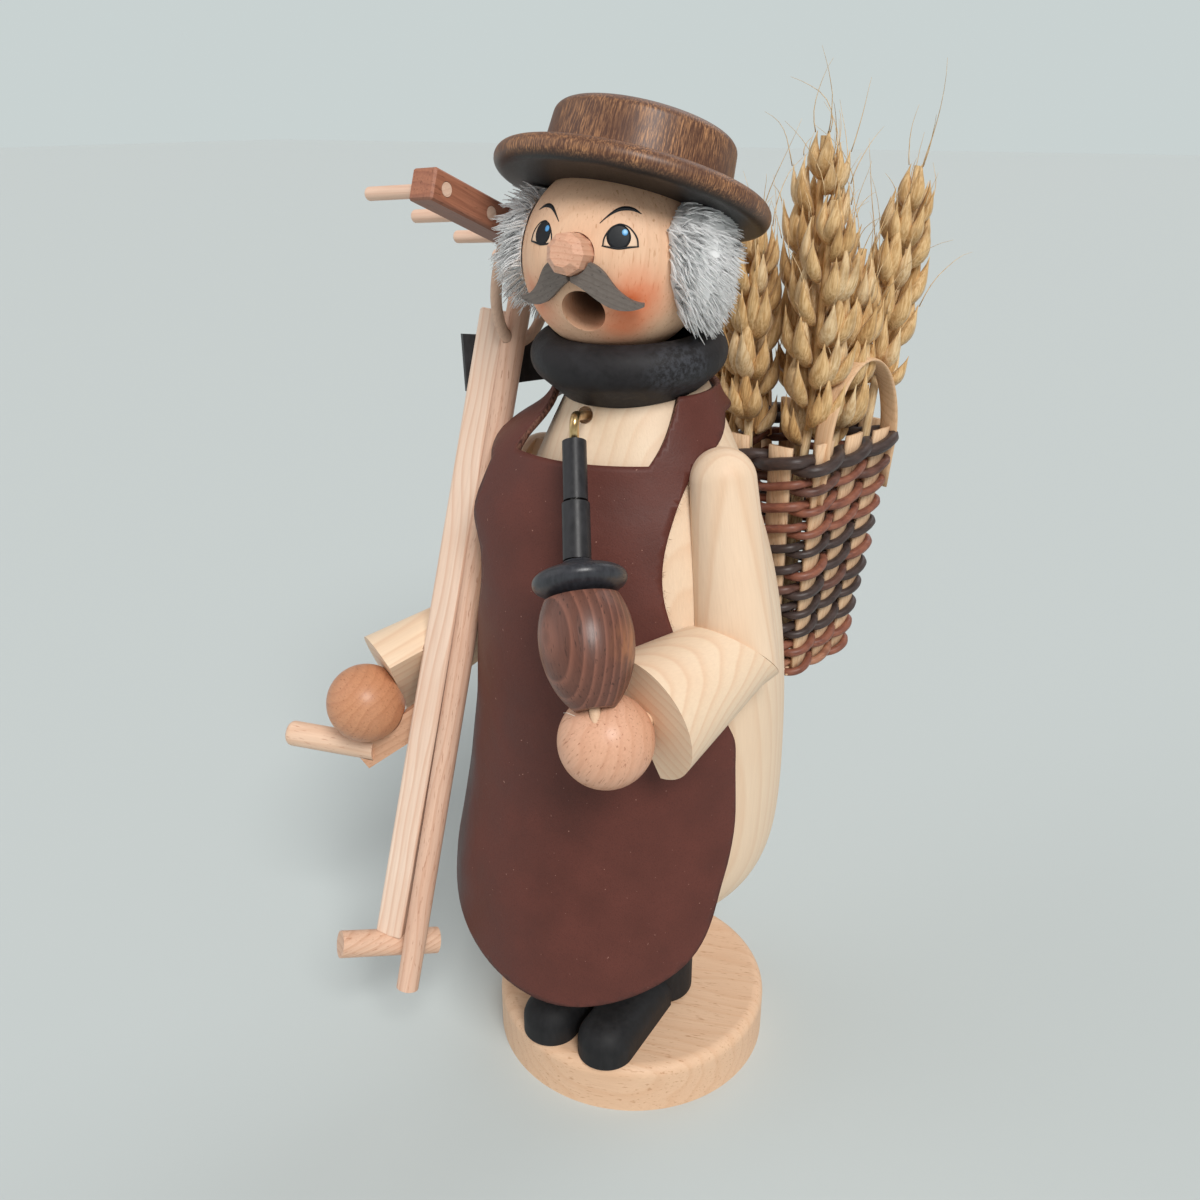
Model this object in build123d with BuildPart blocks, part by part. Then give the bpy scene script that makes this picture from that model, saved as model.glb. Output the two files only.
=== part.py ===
from build123d import *
import math
import os

os.makedirs("parts", exist_ok=True)

# A turned wooden smoking figure: a farm hand with a pipe, a scythe, a rake and a basket of wheat.
# The origin is the centre of the base's underside. The figure faces -Y, and its left hand is at +X.
# The body lifts off the waist plug, where the incense cone burns on its dish.

# Clearances and overruns
glue_gap = 0.1
carve_gap = 0.15
lift_gap = 0.4
overrun = 3.0

# Stand
base_radius = 31.0
base_height = 11.5
base_edge = 2.4
leg_radius = 6.9
leg_offset = 8.3
leg_forward = -0.5
leg_height = 30.0
leg_foot_round = 1.5
shoe_half_width = 6.2
shoe_toe = 24.6
shoe_heel = 2.0
shoe_height = 8.6
shoe_round = 5.4
shoe_offset = 7.0
dowel_radius = 2.0
dowel_depth = 8.0

# Waist plug, dish and tack
plug_flange_radius = 22.0
plug_flange_height = 3.5
chamber_radius = 17.2
plug_spigot_height = 6.0
plug_spigot_edge = 1.0
vent_radius = 1.7
vent_circle_radius = 13.8
vent_count = 6
dish_radius = 10.5
dish_sheet = 0.5
dish_depth = 2.2
tack_head_radius = 1.5
tack_head_height = 0.6
tack_shank_radius = 0.6
tack_length = 5.0

# Body: a turned pear, as shares of its height and of its belly's radius
belly_radius = 31.5
body_height = 108.5
body_outline_shares = [
    (0.000, 0.780),
    (0.055, 0.910),
    (0.180, 0.995),
    (0.300, 1.000),
    (0.440, 0.982),
    (0.608, 0.910),
    (0.780, 0.745),
    (0.873, 0.615),
    (0.940, 0.511),
    (1.000, 0.410),
]
chamber_top_share = 0.62
chamber_cone_share = 0.08
flue_radius = 3.4
neck_centre = (-1.0, -2.5)
neck_tube_radius = 5.8
neck_socket_depth = 7.0

# Scarf ring, tilted forward
scarf_tilt = 4.0
scarf_above_body = 4.8
scarf_outer_radius = 18.4
scarf_crease_radius = 16.9
scarf_inner_radius = 9.5
scarf_roll_top = 5.4
scarf_crease_drop = 2.4
scarf_skirt_radius = 12.6
scarf_skirt_drop = 6.4

# Head ball and its bores
head_radius = 17.0
head_place = (-2.0, -5.6)
head_above_body = 22.5
head_tilt = 8.0
head_turn = 4.0
head_socket_depth = 6.0
mouth_radius = 4.0
mouth_elevation = -33.5
mouth_turn = 3.0
nose_radius = 3.5
nose_length = 5.8
nose_sides = 9
nose_elevation = 0.0
nose_chamfer = 1.2
nose_sink = 1.2

# Moustache: two veneer wings, as shares of their length and height
veneer = 0.9
wing_length = 12.6
wing_height = 7.4
wing_turn = 20.0
wing_elevation = -17.0
wing_top_shares = [(0.00, 0.44), (0.22, 0.58), (0.42, 0.42), (0.60, 0.06), (0.80, -0.20), (1.00, -0.28)]
wing_bottom_shares = [(1.00, -0.34), (0.80, -0.46), (0.55, -0.42), (0.28, -0.16), (0.00, 0.12)]

# Hair: one strip of fur round the back of the head
hair_gap = 0.2
hair_thickness = 5.0
hair_front_angle = 55.0
hair_rise = 15.0
hair_drop = 9.5
hair_hat_gap = 0.3
hair_scarf_gap = 0.3

# Hat, tipped back on the head
hat_tilt = 20.0
hat_lean = 4.0
hat_seat = 9.6
brim_radius = 25.2
brim_thickness = 4.4
crown_radius = 17.3
crown_top_radius = 16.5
crown_height = 9.4
crown_edge = 2.2

# Apron: one leather sheet. Its sections are circles, as shares of the body's height and the belly's
# radius: height, centre x, centre y and radius. Its outline is seen from the front, as x and height.
leather = 1.2
apron_section_shares = [
    (-0.120, -0.032, -0.032, 1.250),
    (0.065, -0.048, -0.032, 1.187),
    (0.249, -0.032, 0.000, 1.098),
    (0.396, 0.000, 0.000, 1.054),
    (0.544, -0.020, 0.010, 1.024),
    (0.673, -0.090, 0.120, 1.050),
    (0.783, -0.180, 0.340, 1.165),
    (0.866, -0.165, 0.240, 0.945),
    (0.915, -0.110, 0.120, 0.760),
    (0.957, -0.030, 0.010, 0.560),
    (1.005, -0.020, 0.000, 0.480),
]
apron_neckline_shares = [(-0.527, 0.894), (0.343, 0.894)]
apron_left_edge_shares = [
    (0.620, 0.997),
    (0.570, 0.950),
    (0.545, 0.889),
    (0.517, 0.818),
    (0.521, 0.719),
    (0.635, 0.618),
    (0.900, 0.452),
]
apron_hem_shares = [
    (0.945, 0.378),
    (0.955, 0.157),
    (0.800, -0.014),
    (0.063, -0.096),
    (-0.873, -0.032),
    (-1.162, 0.138),
    (-1.117, 0.378),
]
apron_right_edge_shares = [
    (-0.990, 0.480),
    (-0.760, 0.610),
    (-0.720, 0.700),
    (-0.815, 0.770),
    (-0.760, 0.860),
    (-0.620, 0.950),
    (-0.640, 0.997),
]
apron_strap_top_shares = [(-0.400, 0.997), (0.400, 0.997)]
halter_shares = (0.957, 0.997)

# Arms: tapered half-round sticks, mitred at the elbow, flat side to the body. Turn, lean, the gap to the
# pear and the drop below the body's top place the flat's plane. Elbow and shoulder are points in that
# plane, and the left cuff's last number is how far it stands off the plane.
elbow_radius = 7.8
shoulder_radius = 6.2
cuff_radius = 12.2
arm_flat_inset = 2.0
arm_lean = 14.0
left_arm_turn = 60.0
left_arm_drop = 49.5
left_arm_gap = 2.37
left_elbow = (2.2, 4.2)
left_shoulder = (3.4, 36.0)
left_cuff = (-21.4, -1.8, 3.8)
right_arm_turn = -96.0
right_arm_drop = 53.5
right_arm_gap = 1.87
right_elbow = (0.0, -2.0)
right_shoulder = (0.0, 34.0)
right_fore_length = 32.0
hand_radius = 8.4
left_hand_place = (17.6, -43.6)
left_hand_drop = 2.4
right_hand_place = (-51.0, -27.6)
right_hand_drop = 70.5
wrist_pin_radius = 1.5
wrist_pin_length = 10.0
wrist_pin_offset = 2.6
shoulder_pin_radius = 1.5
shoulder_pin_length = 9.0
shoulder_pin_share = 0.62

# Pipe, its top and its hook's end placed below the body's top
pipe_top_place = (0.35, -24.8)
pipe_top_drop = 6.4
pipe_seat = (-0.02, -0.42, 0.91)
stem_slope = (0.326, -0.506, -0.799)
stem_radius = 2.15
lower_stem_radius = 2.45
upper_stem_length = 10.9
stem_gap = 0.5
lower_stem_length = 10.2
lid_radius = 8.3
lid_height = 6.4
lid_shares = [(0.00, 0.30), (0.22, 0.70), (0.48, 0.98), (0.62, 0.98), (0.84, 0.80), (1.00, 0.55)]
bowl_radius = 8.1
bowl_shares = [(0.00, 0.80), (0.30, 1.00), (0.62, 0.93), (0.88, 0.66), (1.00, 0.42)]
pipe_pin_radius = 1.0
pipe_pin_depth = 4.0
hook_radius = 0.85
hook_bend = 1.7
hook_rise = 4.6
hook_end_place = (-4.4, -12.2)
hook_end_drop = 4.9
hook_hole_radius = 1.6

# Scythe, its places measured from the right hand's centre
snath_foot_reach = (10.6, -10.1, -50.1)
snath_top_reach = (18.1, 28.1, 80.6)
snath_width = 5.8
snath_thickness = 4.0
snath_face_turn = 17.0
snath_edge = 0.4
end_grip_radius = 2.9
end_grip_length = 22.0
end_grip_turn = 55.0
end_grip_seat = 2.2
grip_edge = 1.4
grip_arm_root_reach = (11.4, 5.5, -2.4)
grip_arm_end_reach = (-2.4, 0.0, -13.7)
grip_arm_width = 6.0
grip_arm_thickness = 3.0
mid_grip_start_reach = (0.4, 1.5, -11.8)
mid_grip_end_reach = (-19.4, -4.7, -10.5)
mid_grip_radius = 2.8
blade_thickness = 1.8
blade_turn = 50.0
blade_length = 38.0
blade_root_width = 11.5
blade_root = 4.2
blade_back = 2.2
blade_below_top = 4.6
blade_top_shares = [(0.00, 0.50), (0.40, 0.36), (0.75, 0.06), (1.00, -0.50)]
blade_edge_shares = [(1.00, -0.52), (0.72, -0.40), (0.36, -0.40), (0.00, -0.50)]
rivet_radius = 0.9
rivet_proud = 0.4

# Rake, its places measured from the right hand's centre. The head's bar has its own slope: along the
# bar, and up through it.
rake_foot_reach = (17.2, -13.6, -59.7)
rake_head_reach = (24.0, 31.8, 94.0)
rake_along = (-0.120, -0.916, 0.383)
rake_up = (-0.031, 0.389, 0.921)
rake_radius = 2.4
rake_bar_side = 5.7
rake_bar_half = 27.8
rake_bar_shift = 2.9
rake_bar_edge = 0.4
rake_tenon_end = 1.5
tooth_radius = 1.25
tooth_length = 14.0
tooth_pitch = 12.2
tooth_first = 27.3
tooth_count = 5
tooth_edge = 0.5
brace_radius = 1.1
brace_socket = 1.4
brace_half = 7.0
brace_drop = 19.8
brace_shares = [(1.00, 0.00), (1.10, 0.42), (0.78, 0.82), (0.00, 1.00)]

# Basket, its rim, handles and peg
basket_centre = (11.0, 50.5)
basket_turn = -14.0
basket_floor = 79.0
basket_rim_height = 132.7
basket_top_side = 37.0
basket_bottom_side = 27.0
basket_corner = 6.0
basket_wall = 1.6
basket_floor_thickness = 2.5
rim_height = 2.4
rim_thickness = 2.4
rim_outset = 0.6
handle_width = 4.2
handle_thickness = 0.9
handle_span = 22.0
handle_rise = 19.0
handle_seat = 12.0
peg_height = 90.0
peg_radius = 2.0
peg_depth = 7.0
peg_inside = 2.4

# Wheat. Each ear's place is in shares of the basket's top side: foot x and y, tip x and y from the
# basket's centre, tip above the rim, and the ear's own length.
straw_radius = 1.1
ear_radius = 4.5
ear_waist_share = 0.74
ear_rows = 8
ear_place_shares = [
    (0.16, -0.24, 0.34, -0.40, 1.54, 1.50),
    (0.08, 0.02, 0.12, -0.02, 1.85, 1.50),
    (0.28, 0.20, 0.58, 0.30, 1.68, 1.39),
    (-0.16, -0.20, -0.12, -0.34, 1.43, 1.39),
    (-0.26, -0.04, -0.42, -0.16, 1.07, 1.30),
    (-0.06, 0.26, 0.02, 0.34, 1.46, 1.39),
    (0.22, -0.02, 0.40, -0.02, 1.24, 1.26),
]

# Places that follow the body's top, and the tools' places, which follow the right hand
rim_z = base_height + leg_height + plug_flange_height
body_top = rim_z + body_height
head_centre = (*head_place, body_top + head_above_body)
left_arm_height = body_top - left_arm_drop
right_arm_height = body_top - right_arm_drop
left_hand_centre = (*left_hand_place, left_arm_height - left_hand_drop)
right_hand_centre = (*right_hand_place, body_top - right_hand_drop)
pipe_top = (*pipe_top_place, body_top - pipe_top_drop)
hook_end = (*hook_end_place, body_top - hook_end_drop)


def from_right_hand(reach):
    return tuple(place + offset for place, offset in zip(right_hand_centre, reach))


snath_foot = from_right_hand(snath_foot_reach)
snath_top = from_right_hand(snath_top_reach)
grip_arm_root = from_right_hand(grip_arm_root_reach)
grip_arm_end = from_right_hand(grip_arm_end_reach)
mid_grip_start = from_right_hand(mid_grip_start_reach)
mid_grip_end = from_right_hand(mid_grip_end_reach)
rake_foot = from_right_hand(rake_foot_reach)
rake_head_centre = from_right_hand(rake_head_reach)


def export(piece, label):
    piece.part.label = label
    export_step(piece.part, "parts/" + label + ".step")


def unit(point):
    return Vector(*point).normalized()


def round_bar(start, end, radius, edge=0.0):
    """Straight round bar between two points, its far end eased."""
    direction = Vector(*end) - Vector(*start)
    with BuildPart() as piece:
        with BuildSketch(Plane(origin=start, z_dir=direction)):
            Circle(radius)
        extrude(amount=direction.length)
        if edge > 0:
            fillet(piece.faces().sort_by(Axis(start, direction))[-1].edges(), edge)
    return piece


def upright(x, y, low, high, radius):
    """Round bar or cutter that stands upright."""
    return round_bar((x, y, low), (x, y, high), radius)


def body_blank(grow):
    """The turned pear, grown all round by a gap, without its bores."""
    points = [
        (share_r * belly_radius + grow, rim_z + share_z * body_height)
        for share_z, share_r in body_outline_shares
    ]
    with BuildPart() as piece:
        with BuildSketch(Plane.XZ):
            with BuildLine():
                Spline(*points)
                Polyline(points[-1], (0, points[-1][1]), (0, points[0][1]), points[0])
            make_face()
        revolve(axis=Axis.Z)
    return piece


def body_radius(height):
    """Radius of the pear at a height, along the straight lines between its outline's points."""
    share = (height - rim_z) / body_height
    for (low, low_r), (high, high_r) in zip(body_outline_shares, body_outline_shares[1:]):
        if share <= high:
            break
    return belly_radius * (low_r + (high_r - low_r) * (share - low) / (high - low))


# Stand: disc, trouser legs, shoes and their dowels
leg_places = [(side * leg_offset, leg_forward) for side in (-1, 1)]
plug_bottom = base_height + leg_height
plug_top = rim_z + plug_spigot_height

with BuildPart() as base_disc:
    with BuildSketch():
        Circle(base_radius)
    extrude(amount=base_height)
    fillet(base_disc.edges().filter_by(GeomType.CIRCLE).sort_by(Axis.Z)[-1], base_edge)
    with BuildSketch(Plane.XY.offset(base_height)):
        with Locations(*leg_places):
            Circle(dowel_radius + glue_gap)
    extrude(amount=-dowel_depth - glue_gap, mode=Mode.SUBTRACT)
export(base_disc, "base_disc")

for name, place in zip(("right_leg", "left_leg"), leg_places):
    with BuildPart() as leg:
        with BuildSketch(Plane.XY.offset(base_height)):
            with Locations(place):
                Circle(leg_radius)
        extrude(amount=leg_height)
        fillet(leg.edges().filter_by(GeomType.CIRCLE).sort_by(Axis.Z)[0], leg_foot_round)
        with BuildSketch(Plane.XY.offset(base_height)):
            with Locations(place):
                Circle(dowel_radius + glue_gap)
        extrude(amount=leg_height, mode=Mode.SUBTRACT)
    export(leg, name)

for name, side, place in zip(("right_shoe", "left_shoe"), (-1, 1), leg_places):
    with BuildPart() as shoe:
        with BuildSketch(Plane.XY.offset(base_height)):
            with Locations((side * shoe_offset, -(shoe_toe + shoe_heel) / 2)):
                SlotOverall(shoe_toe - shoe_heel + 2 * shoe_half_width, 2 * shoe_half_width, rotation=90)
        extrude(amount=shoe_height)
        fillet(shoe.faces().sort_by(Axis.Z)[-1].edges(), shoe_round)
        with BuildSketch(Plane.XY.offset(base_height)):
            with Locations(place):
                Circle(leg_radius + glue_gap)
            with Locations((place[0], place[1] + leg_radius)):
                Rectangle(2 * leg_radius + overrun, 2 * leg_radius)
        extrude(amount=shoe_height, mode=Mode.SUBTRACT)
    export(shoe, name)

with BuildPart() as leg_dowels:
    with BuildSketch(Plane.XY.offset(base_height - dowel_depth)):
        with Locations(*leg_places):
            Circle(dowel_radius)
    extrude(amount=dowel_depth + leg_height + plug_flange_height)
export(leg_dowels, "leg_dowels")

# Waist plug, which closes the smoke chamber and locates the body
with BuildPart() as smoke_plug:
    with BuildSketch(Plane.XY.offset(plug_bottom)):
        Circle(plug_flange_radius)
    extrude(amount=plug_flange_height)
    with BuildSketch(Plane.XY.offset(rim_z)):
        Circle(chamber_radius - lift_gap)
    extrude(amount=plug_spigot_height)
    chamfer(smoke_plug.edges().filter_by(GeomType.CIRCLE).sort_by(Axis.Z)[-1], plug_spigot_edge)
    with BuildSketch(Plane.XY.offset(plug_bottom)):
        with Locations(*leg_places):
            Circle(dowel_radius + glue_gap)
    extrude(amount=plug_flange_height + glue_gap, mode=Mode.SUBTRACT)
    with BuildSketch(Plane.XY.offset(plug_bottom)):
        with PolarLocations(vent_circle_radius, vent_count, start_angle=90):
            Circle(vent_radius)
    extrude(amount=plug_top - plug_bottom, mode=Mode.SUBTRACT)
    with BuildSketch(Plane.XY.offset(plug_top)):
        Circle(tack_shank_radius + glue_gap)
    extrude(amount=-tack_length, mode=Mode.SUBTRACT)
export(smoke_plug, "smoke_plug")

# Incense dish: a pressed metal cup held by one tack
tack_hole = tack_shank_radius + glue_gap
with BuildPart() as incense_dish:
    with BuildSketch(Plane.XZ):
        with BuildLine():
            Polyline(
                (tack_hole, plug_top),
                (dish_radius - dish_depth, plug_top),
                (dish_radius, plug_top + dish_depth),
                (dish_radius - dish_sheet, plug_top + dish_depth),
                (dish_radius - dish_depth - dish_sheet / 2, plug_top + dish_sheet),
                (tack_hole, plug_top + dish_sheet),
                close=True,
            )
        make_face()
    revolve(axis=Axis.Z)
export(incense_dish, "incense_dish")

with BuildPart() as dish_tack:
    with BuildSketch(Plane.XY.offset(plug_top + dish_sheet)):
        Circle(tack_head_radius)
    extrude(amount=tack_head_height)
    with BuildSketch(Plane.XY.offset(plug_top + dish_sheet)):
        Circle(tack_shank_radius)
    extrude(amount=dish_sheet - tack_length)
export(dish_tack, "dish_tack")

# Body shell with its smoke chamber, flue, neck socket and hook hole
neck_x, neck_y = neck_centre
chamber_top = rim_z + chamber_top_share * body_height
neck_socket_floor = body_top - neck_socket_depth
pipe_top_point = Vector(*pipe_top)
hook_shoulder = pipe_top_point + Vector(0, 0, hook_rise)
hook_run = Vector(*hook_end) - hook_shoulder

with BuildPart() as body_shell:
    add(body_blank(0).part)
    with BuildSketch(Plane.XZ):
        with BuildLine():
            Polyline(
                (0, rim_z - overrun),
                (chamber_radius, rim_z - overrun),
                (chamber_radius, chamber_top),
                (flue_radius, chamber_top + chamber_cone_share * body_height),
                (0, chamber_top + chamber_cone_share * body_height),
                close=True,
            )
        make_face()
    revolve(axis=Axis.Z, mode=Mode.SUBTRACT)
    add(upright(neck_x, neck_y, chamber_top, body_top + overrun, flue_radius).part, mode=Mode.SUBTRACT)
    socket = upright(neck_x, neck_y, neck_socket_floor, body_top + overrun, neck_tube_radius + glue_gap)
    add(socket.part, mode=Mode.SUBTRACT)
    add(round_bar(hook_end, hook_shoulder, hook_hole_radius).part, mode=Mode.SUBTRACT)
export(body_shell, "body_shell")

# Head ball: neck socket and smoke bore from below, mouth bore from the front
tilt, turn = math.radians(head_tilt), math.radians(head_turn)
head_front = Vector(math.sin(turn) * math.cos(tilt), -math.cos(turn) * math.cos(tilt), math.sin(tilt))
head_side = Vector(math.cos(turn), math.sin(turn), 0)
head_axis = head_side.cross(head_front * -1)
head_z = head_centre[2]
neck_tube_top = head_z - head_radius + head_socket_depth


def face_direction(left, up):
    """Unit vector out of the head's centre, by angles to its left and above its equator."""
    level = head_side * math.sin(math.radians(left)) + head_front * math.cos(math.radians(left))
    return level * math.cos(math.radians(up)) + head_axis * math.sin(math.radians(up))


def face_plane(left, up, distance):
    """Plane on the face, its x to the head's left and its z outward."""
    out = face_direction(left, up)
    return Plane(origin=Vector(*head_centre) + out * distance, x_dir=head_axis.cross(out), z_dir=out)


nose_plane = face_plane(0, nose_elevation, head_radius - nose_sink)
mouth_plane = face_plane(mouth_turn, mouth_elevation, 0)
head_plane = Plane(origin=head_centre, x_dir=head_side, z_dir=head_axis)

with BuildPart() as head:
    with Locations(head_centre):
        Sphere(head_radius)
    add(socket.part.moved(Location((0, 0, neck_tube_top - body_top - overrun))), mode=Mode.SUBTRACT)
    add(upright(neck_x, neck_y, head_z - head_radius, head_z, flue_radius).part, mode=Mode.SUBTRACT)
    with BuildSketch(mouth_plane):
        Circle(mouth_radius)
    extrude(amount=head_radius + overrun, mode=Mode.SUBTRACT)
    with BuildSketch(nose_plane):
        Circle(nose_radius + glue_gap)
    extrude(amount=nose_length, mode=Mode.SUBTRACT)
export(head, "head")

with BuildPart() as neck_tube:
    add(upright(neck_x, neck_y, neck_socket_floor, neck_tube_top, neck_tube_radius).part)
    add(upright(neck_x, neck_y, neck_socket_floor, neck_tube_top, flue_radius).part, mode=Mode.SUBTRACT)
export(neck_tube, "neck_tube")

with BuildPart() as nose:
    with BuildSketch(nose_plane):
        RegularPolygon(nose_radius, nose_sides)
    extrude(amount=nose_length)
    chamfer(nose.faces().sort_by(Axis(nose_plane.origin, nose_plane.z_dir))[-1].edges(), nose_chamfer)
export(nose, "nose")

# Moustache wings, flat on the face on either side of the nose's foot
for name, side in (("moustache_right", -1), ("moustache_left", 1)):
    wing_plane = face_plane(side * wing_turn, wing_elevation, head_radius + carve_gap)
    inner = side * (glue_gap - head_radius * math.tan(math.radians(wing_turn)))
    top = [(inner + side * x * wing_length, y * wing_height) for x, y in wing_top_shares]
    bottom = [(inner + side * x * wing_length, y * wing_height) for x, y in wing_bottom_shares]
    with BuildPart() as wing:
        with BuildSketch(wing_plane):
            with BuildLine():
                Spline(*top)
                Line(top[-1], bottom[0])
                Spline(*bottom)
                Line(bottom[-1], top[0])
            make_face()
        extrude(amount=veneer)
        with BuildSketch(nose_plane):
            Circle(nose_radius + glue_gap)
        extrude(amount=nose_length, mode=Mode.SUBTRACT)
    export(wing, name)

# Hat: brim and crown in one turning, seated on the ball
lean, back = math.radians(hat_lean), math.radians(hat_tilt)
hat_axis = Vector(math.sin(lean), math.sin(back) * math.cos(lean), math.cos(back) * math.cos(lean))
hat_plane = Plane(origin=head_centre, x_dir=Vector(0, 1, 0).cross(hat_axis), z_dir=hat_axis)
hat_section = Plane(origin=head_centre, x_dir=hat_plane.x_dir, z_dir=hat_plane.y_dir * -1)
brim_top = hat_seat + brim_thickness
brim_round = brim_thickness / 2

with BuildPart() as hat:
    with BuildSketch(hat_section):
        with BuildLine():
            Line((0, hat_seat), (brim_radius - brim_round, hat_seat))
            RadiusArc((brim_radius - brim_round, hat_seat), (brim_radius - brim_round, brim_top), -brim_round)
            Polyline(
                (brim_radius - brim_round, brim_top),
                (crown_radius, brim_top),
                (crown_top_radius, brim_top + crown_height),
                (0, brim_top + crown_height),
                (0, hat_seat),
            )
        make_face()
    revolve(axis=Axis(head_centre, hat_axis))
    fillet(hat.faces().sort_by(Axis(head_centre, hat_axis))[-1].edges(), crown_edge)
    with Locations(head_centre):
        Sphere(head_radius + glue_gap, mode=Mode.SUBTRACT)
export(hat, "hat")

# Apron: a leather sheet lofted through its sections, cut to its outline, with the halter behind the neck
def apron_blank(inset):
    """Solid inside the leather, pulled inward from its outer face."""
    with BuildPart() as piece:
        for height, x, y, radius in apron_section_shares:
            with BuildSketch(Plane.XY.offset(rim_z + height * body_height)):
                with Locations((x * belly_radius, y * belly_radius)):
                    Circle(radius * belly_radius - inset)
        loft(ruled=True)
    return piece


def apron_points(shares):
    return [(x * belly_radius, rim_z + z * body_height) for x, z in shares]


def apron_shape(grow):
    """Everything inside the apron's outer face, front and halter, grown by a gap."""
    neckline = apron_points(apron_neckline_shares)
    left_edge = apron_points(apron_left_edge_shares)
    right_edge = apron_points(apron_right_edge_shares)
    hem = apron_points(apron_hem_shares)
    strap_tops = apron_points(apron_strap_top_shares)
    halter_low, halter_high = (rim_z + share * body_height for share in halter_shares)
    with BuildPart() as front:
        add(apron_blank(-grow).part)
        with BuildSketch(Plane.XZ):
            with BuildLine():
                Polyline(strap_tops[0], neckline[0], neckline[1], strap_tops[1])
                Line(strap_tops[1], left_edge[0])
                Line(left_edge[0], left_edge[1])
                Spline(*left_edge[1:])
                Line(left_edge[-1], hem[0])
                Spline(*hem)
                Line(hem[-1], right_edge[0])
                Spline(*right_edge[:-1])
                Line(right_edge[-2], right_edge[-1])
                Line(right_edge[-1], strap_tops[0])
            make_face()
        extrude(amount=2 * belly_radius, mode=Mode.INTERSECT)
    with BuildPart() as halter:
        add(apron_blank(-grow).part)
        split(bisect_by=Plane.XY.offset(halter_low - grow), keep=Keep.TOP)
        split(bisect_by=Plane.XY.offset(halter_high + grow), keep=Keep.BOTTOM)
        split(bisect_by=Plane.XZ, keep=Keep.BOTTOM)
    with BuildPart() as shape:
        add(front.part)
        add(halter.part)
    return shape


with BuildPart() as apron:
    add(apron_shape(0).part)
    add(apron_blank(leather).part, mode=Mode.SUBTRACT)
    add(body_blank(carve_gap).part, mode=Mode.SUBTRACT)
export(apron, "apron")
apron_room = apron_shape(carve_gap)

# Scarf ring, carved to sit on the shoulders and under the head
scarf_slope = math.radians(scarf_tilt)
scarf_axis = Vector(0, -math.sin(scarf_slope), math.cos(scarf_slope))
scarf_centre = Vector(neck_x, neck_y, body_top + scarf_above_body)
scarf_plane = Plane(origin=scarf_centre, x_dir=(1, 0, 0), z_dir=scarf_axis)
scarf_section = Plane(origin=scarf_centre, x_dir=(1, 0, 0), z_dir=scarf_plane.y_dir * -1)
with BuildPart() as scarf:
    with BuildSketch(scarf_section):
        with BuildLine():
            ThreePointArc(
                (scarf_crease_radius, -scarf_crease_drop),
                (scarf_outer_radius, scarf_roll_top / 4),
                ((scarf_outer_radius + scarf_inner_radius) / 2, scarf_roll_top),
            )
            Polyline(
                ((scarf_outer_radius + scarf_inner_radius) / 2, scarf_roll_top),
                (scarf_inner_radius, scarf_roll_top / 2),
                (scarf_inner_radius, -scarf_skirt_drop),
                (scarf_skirt_radius, -scarf_skirt_drop),
                (scarf_crease_radius, -scarf_crease_drop),
            )
        make_face()
    revolve(axis=Axis(scarf_centre, scarf_axis))
    add(body_blank(carve_gap).part, mode=Mode.SUBTRACT)
    add(apron_room.part, mode=Mode.SUBTRACT)
    add(round_bar(hook_shoulder, hook_end, hook_radius + carve_gap).part, mode=Mode.SUBTRACT)
    with Locations(head_centre):
        Sphere(head_radius + carve_gap, mode=Mode.SUBTRACT)
export(scarf, "scarf")

# Hair: a thick shell on the ball, open at the face, cut under the brim and above the scarf
reach = 2 * (head_radius + hair_thickness)
spread = reach * math.tan(math.radians(hair_front_angle))
with BuildPart() as hair:
    with Locations(head_centre):
        Sphere(head_radius + hair_gap + hair_thickness)
        Sphere(head_radius + hair_gap, mode=Mode.SUBTRACT)
    split(bisect_by=head_plane.offset(-hair_drop), keep=Keep.TOP)
    split(bisect_by=hat_plane.offset(hat_seat - hair_hat_gap), keep=Keep.BOTTOM)
    split(bisect_by=scarf_plane.offset(scarf_roll_top + hair_scarf_gap), keep=Keep.TOP)
    with BuildSketch(head_plane.offset(-reach / 2)):
        with BuildLine():
            Polyline((0, 0), (spread, -reach), (-spread, -reach), close=True)
        make_face()
    extrude(amount=reach, mode=Mode.SUBTRACT)
export(hair, "hair")


# The scythe's snath: a square stick, in whose side the right arm rests
snath_start = Vector(*snath_foot)
snath_way = (Vector(*snath_top) - snath_start).normalized()
face_angle = math.radians(snath_face_turn)
face_way = Vector(math.sin(face_angle), -math.cos(face_angle), 0)
snath_plane = Plane(origin=snath_start, x_dir=snath_way.cross(face_way), z_dir=snath_way)


def snath_stick(grow):
    with BuildPart() as piece:
        with BuildSketch(snath_plane):
            Rectangle(snath_width + 2 * grow, snath_thickness + 2 * grow)
        extrude(amount=(Vector(*snath_top) - snath_start).length)
    return piece


snath_room = snath_stick(glue_gap)

# Arms and hands
def limb(joint, reach, far_radius, flat_out, mitre):
    """Tapered limb from the elbow joint along its reach, mitred at the joint, flat towards the body."""
    with BuildPart() as piece:
        with BuildSketch(Plane(origin=joint, z_dir=reach)):
            Circle(elbow_radius)
        with BuildSketch(Plane(origin=joint + reach, z_dir=reach)):
            Circle(far_radius)
        loft()
        with BuildSketch(Plane(origin=joint, z_dir=reach)):
            Circle(elbow_radius)
        extrude(amount=-2 * elbow_radius)
        if far_radius < elbow_radius:
            with Locations(joint + reach):
                Sphere(far_radius)
        split(bisect_by=Plane(origin=joint - flat_out * arm_flat_inset, z_dir=flat_out), keep=Keep.TOP)
        split(bisect_by=Plane(origin=joint + mitre * (glue_gap / 2), z_dir=mitre), keep=Keep.TOP)
        add(body_blank(carve_gap).part, mode=Mode.SUBTRACT)
        add(apron_room.part, mode=Mode.SUBTRACT)
        add(snath_room.part, mode=Mode.SUBTRACT)
    return piece


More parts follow.
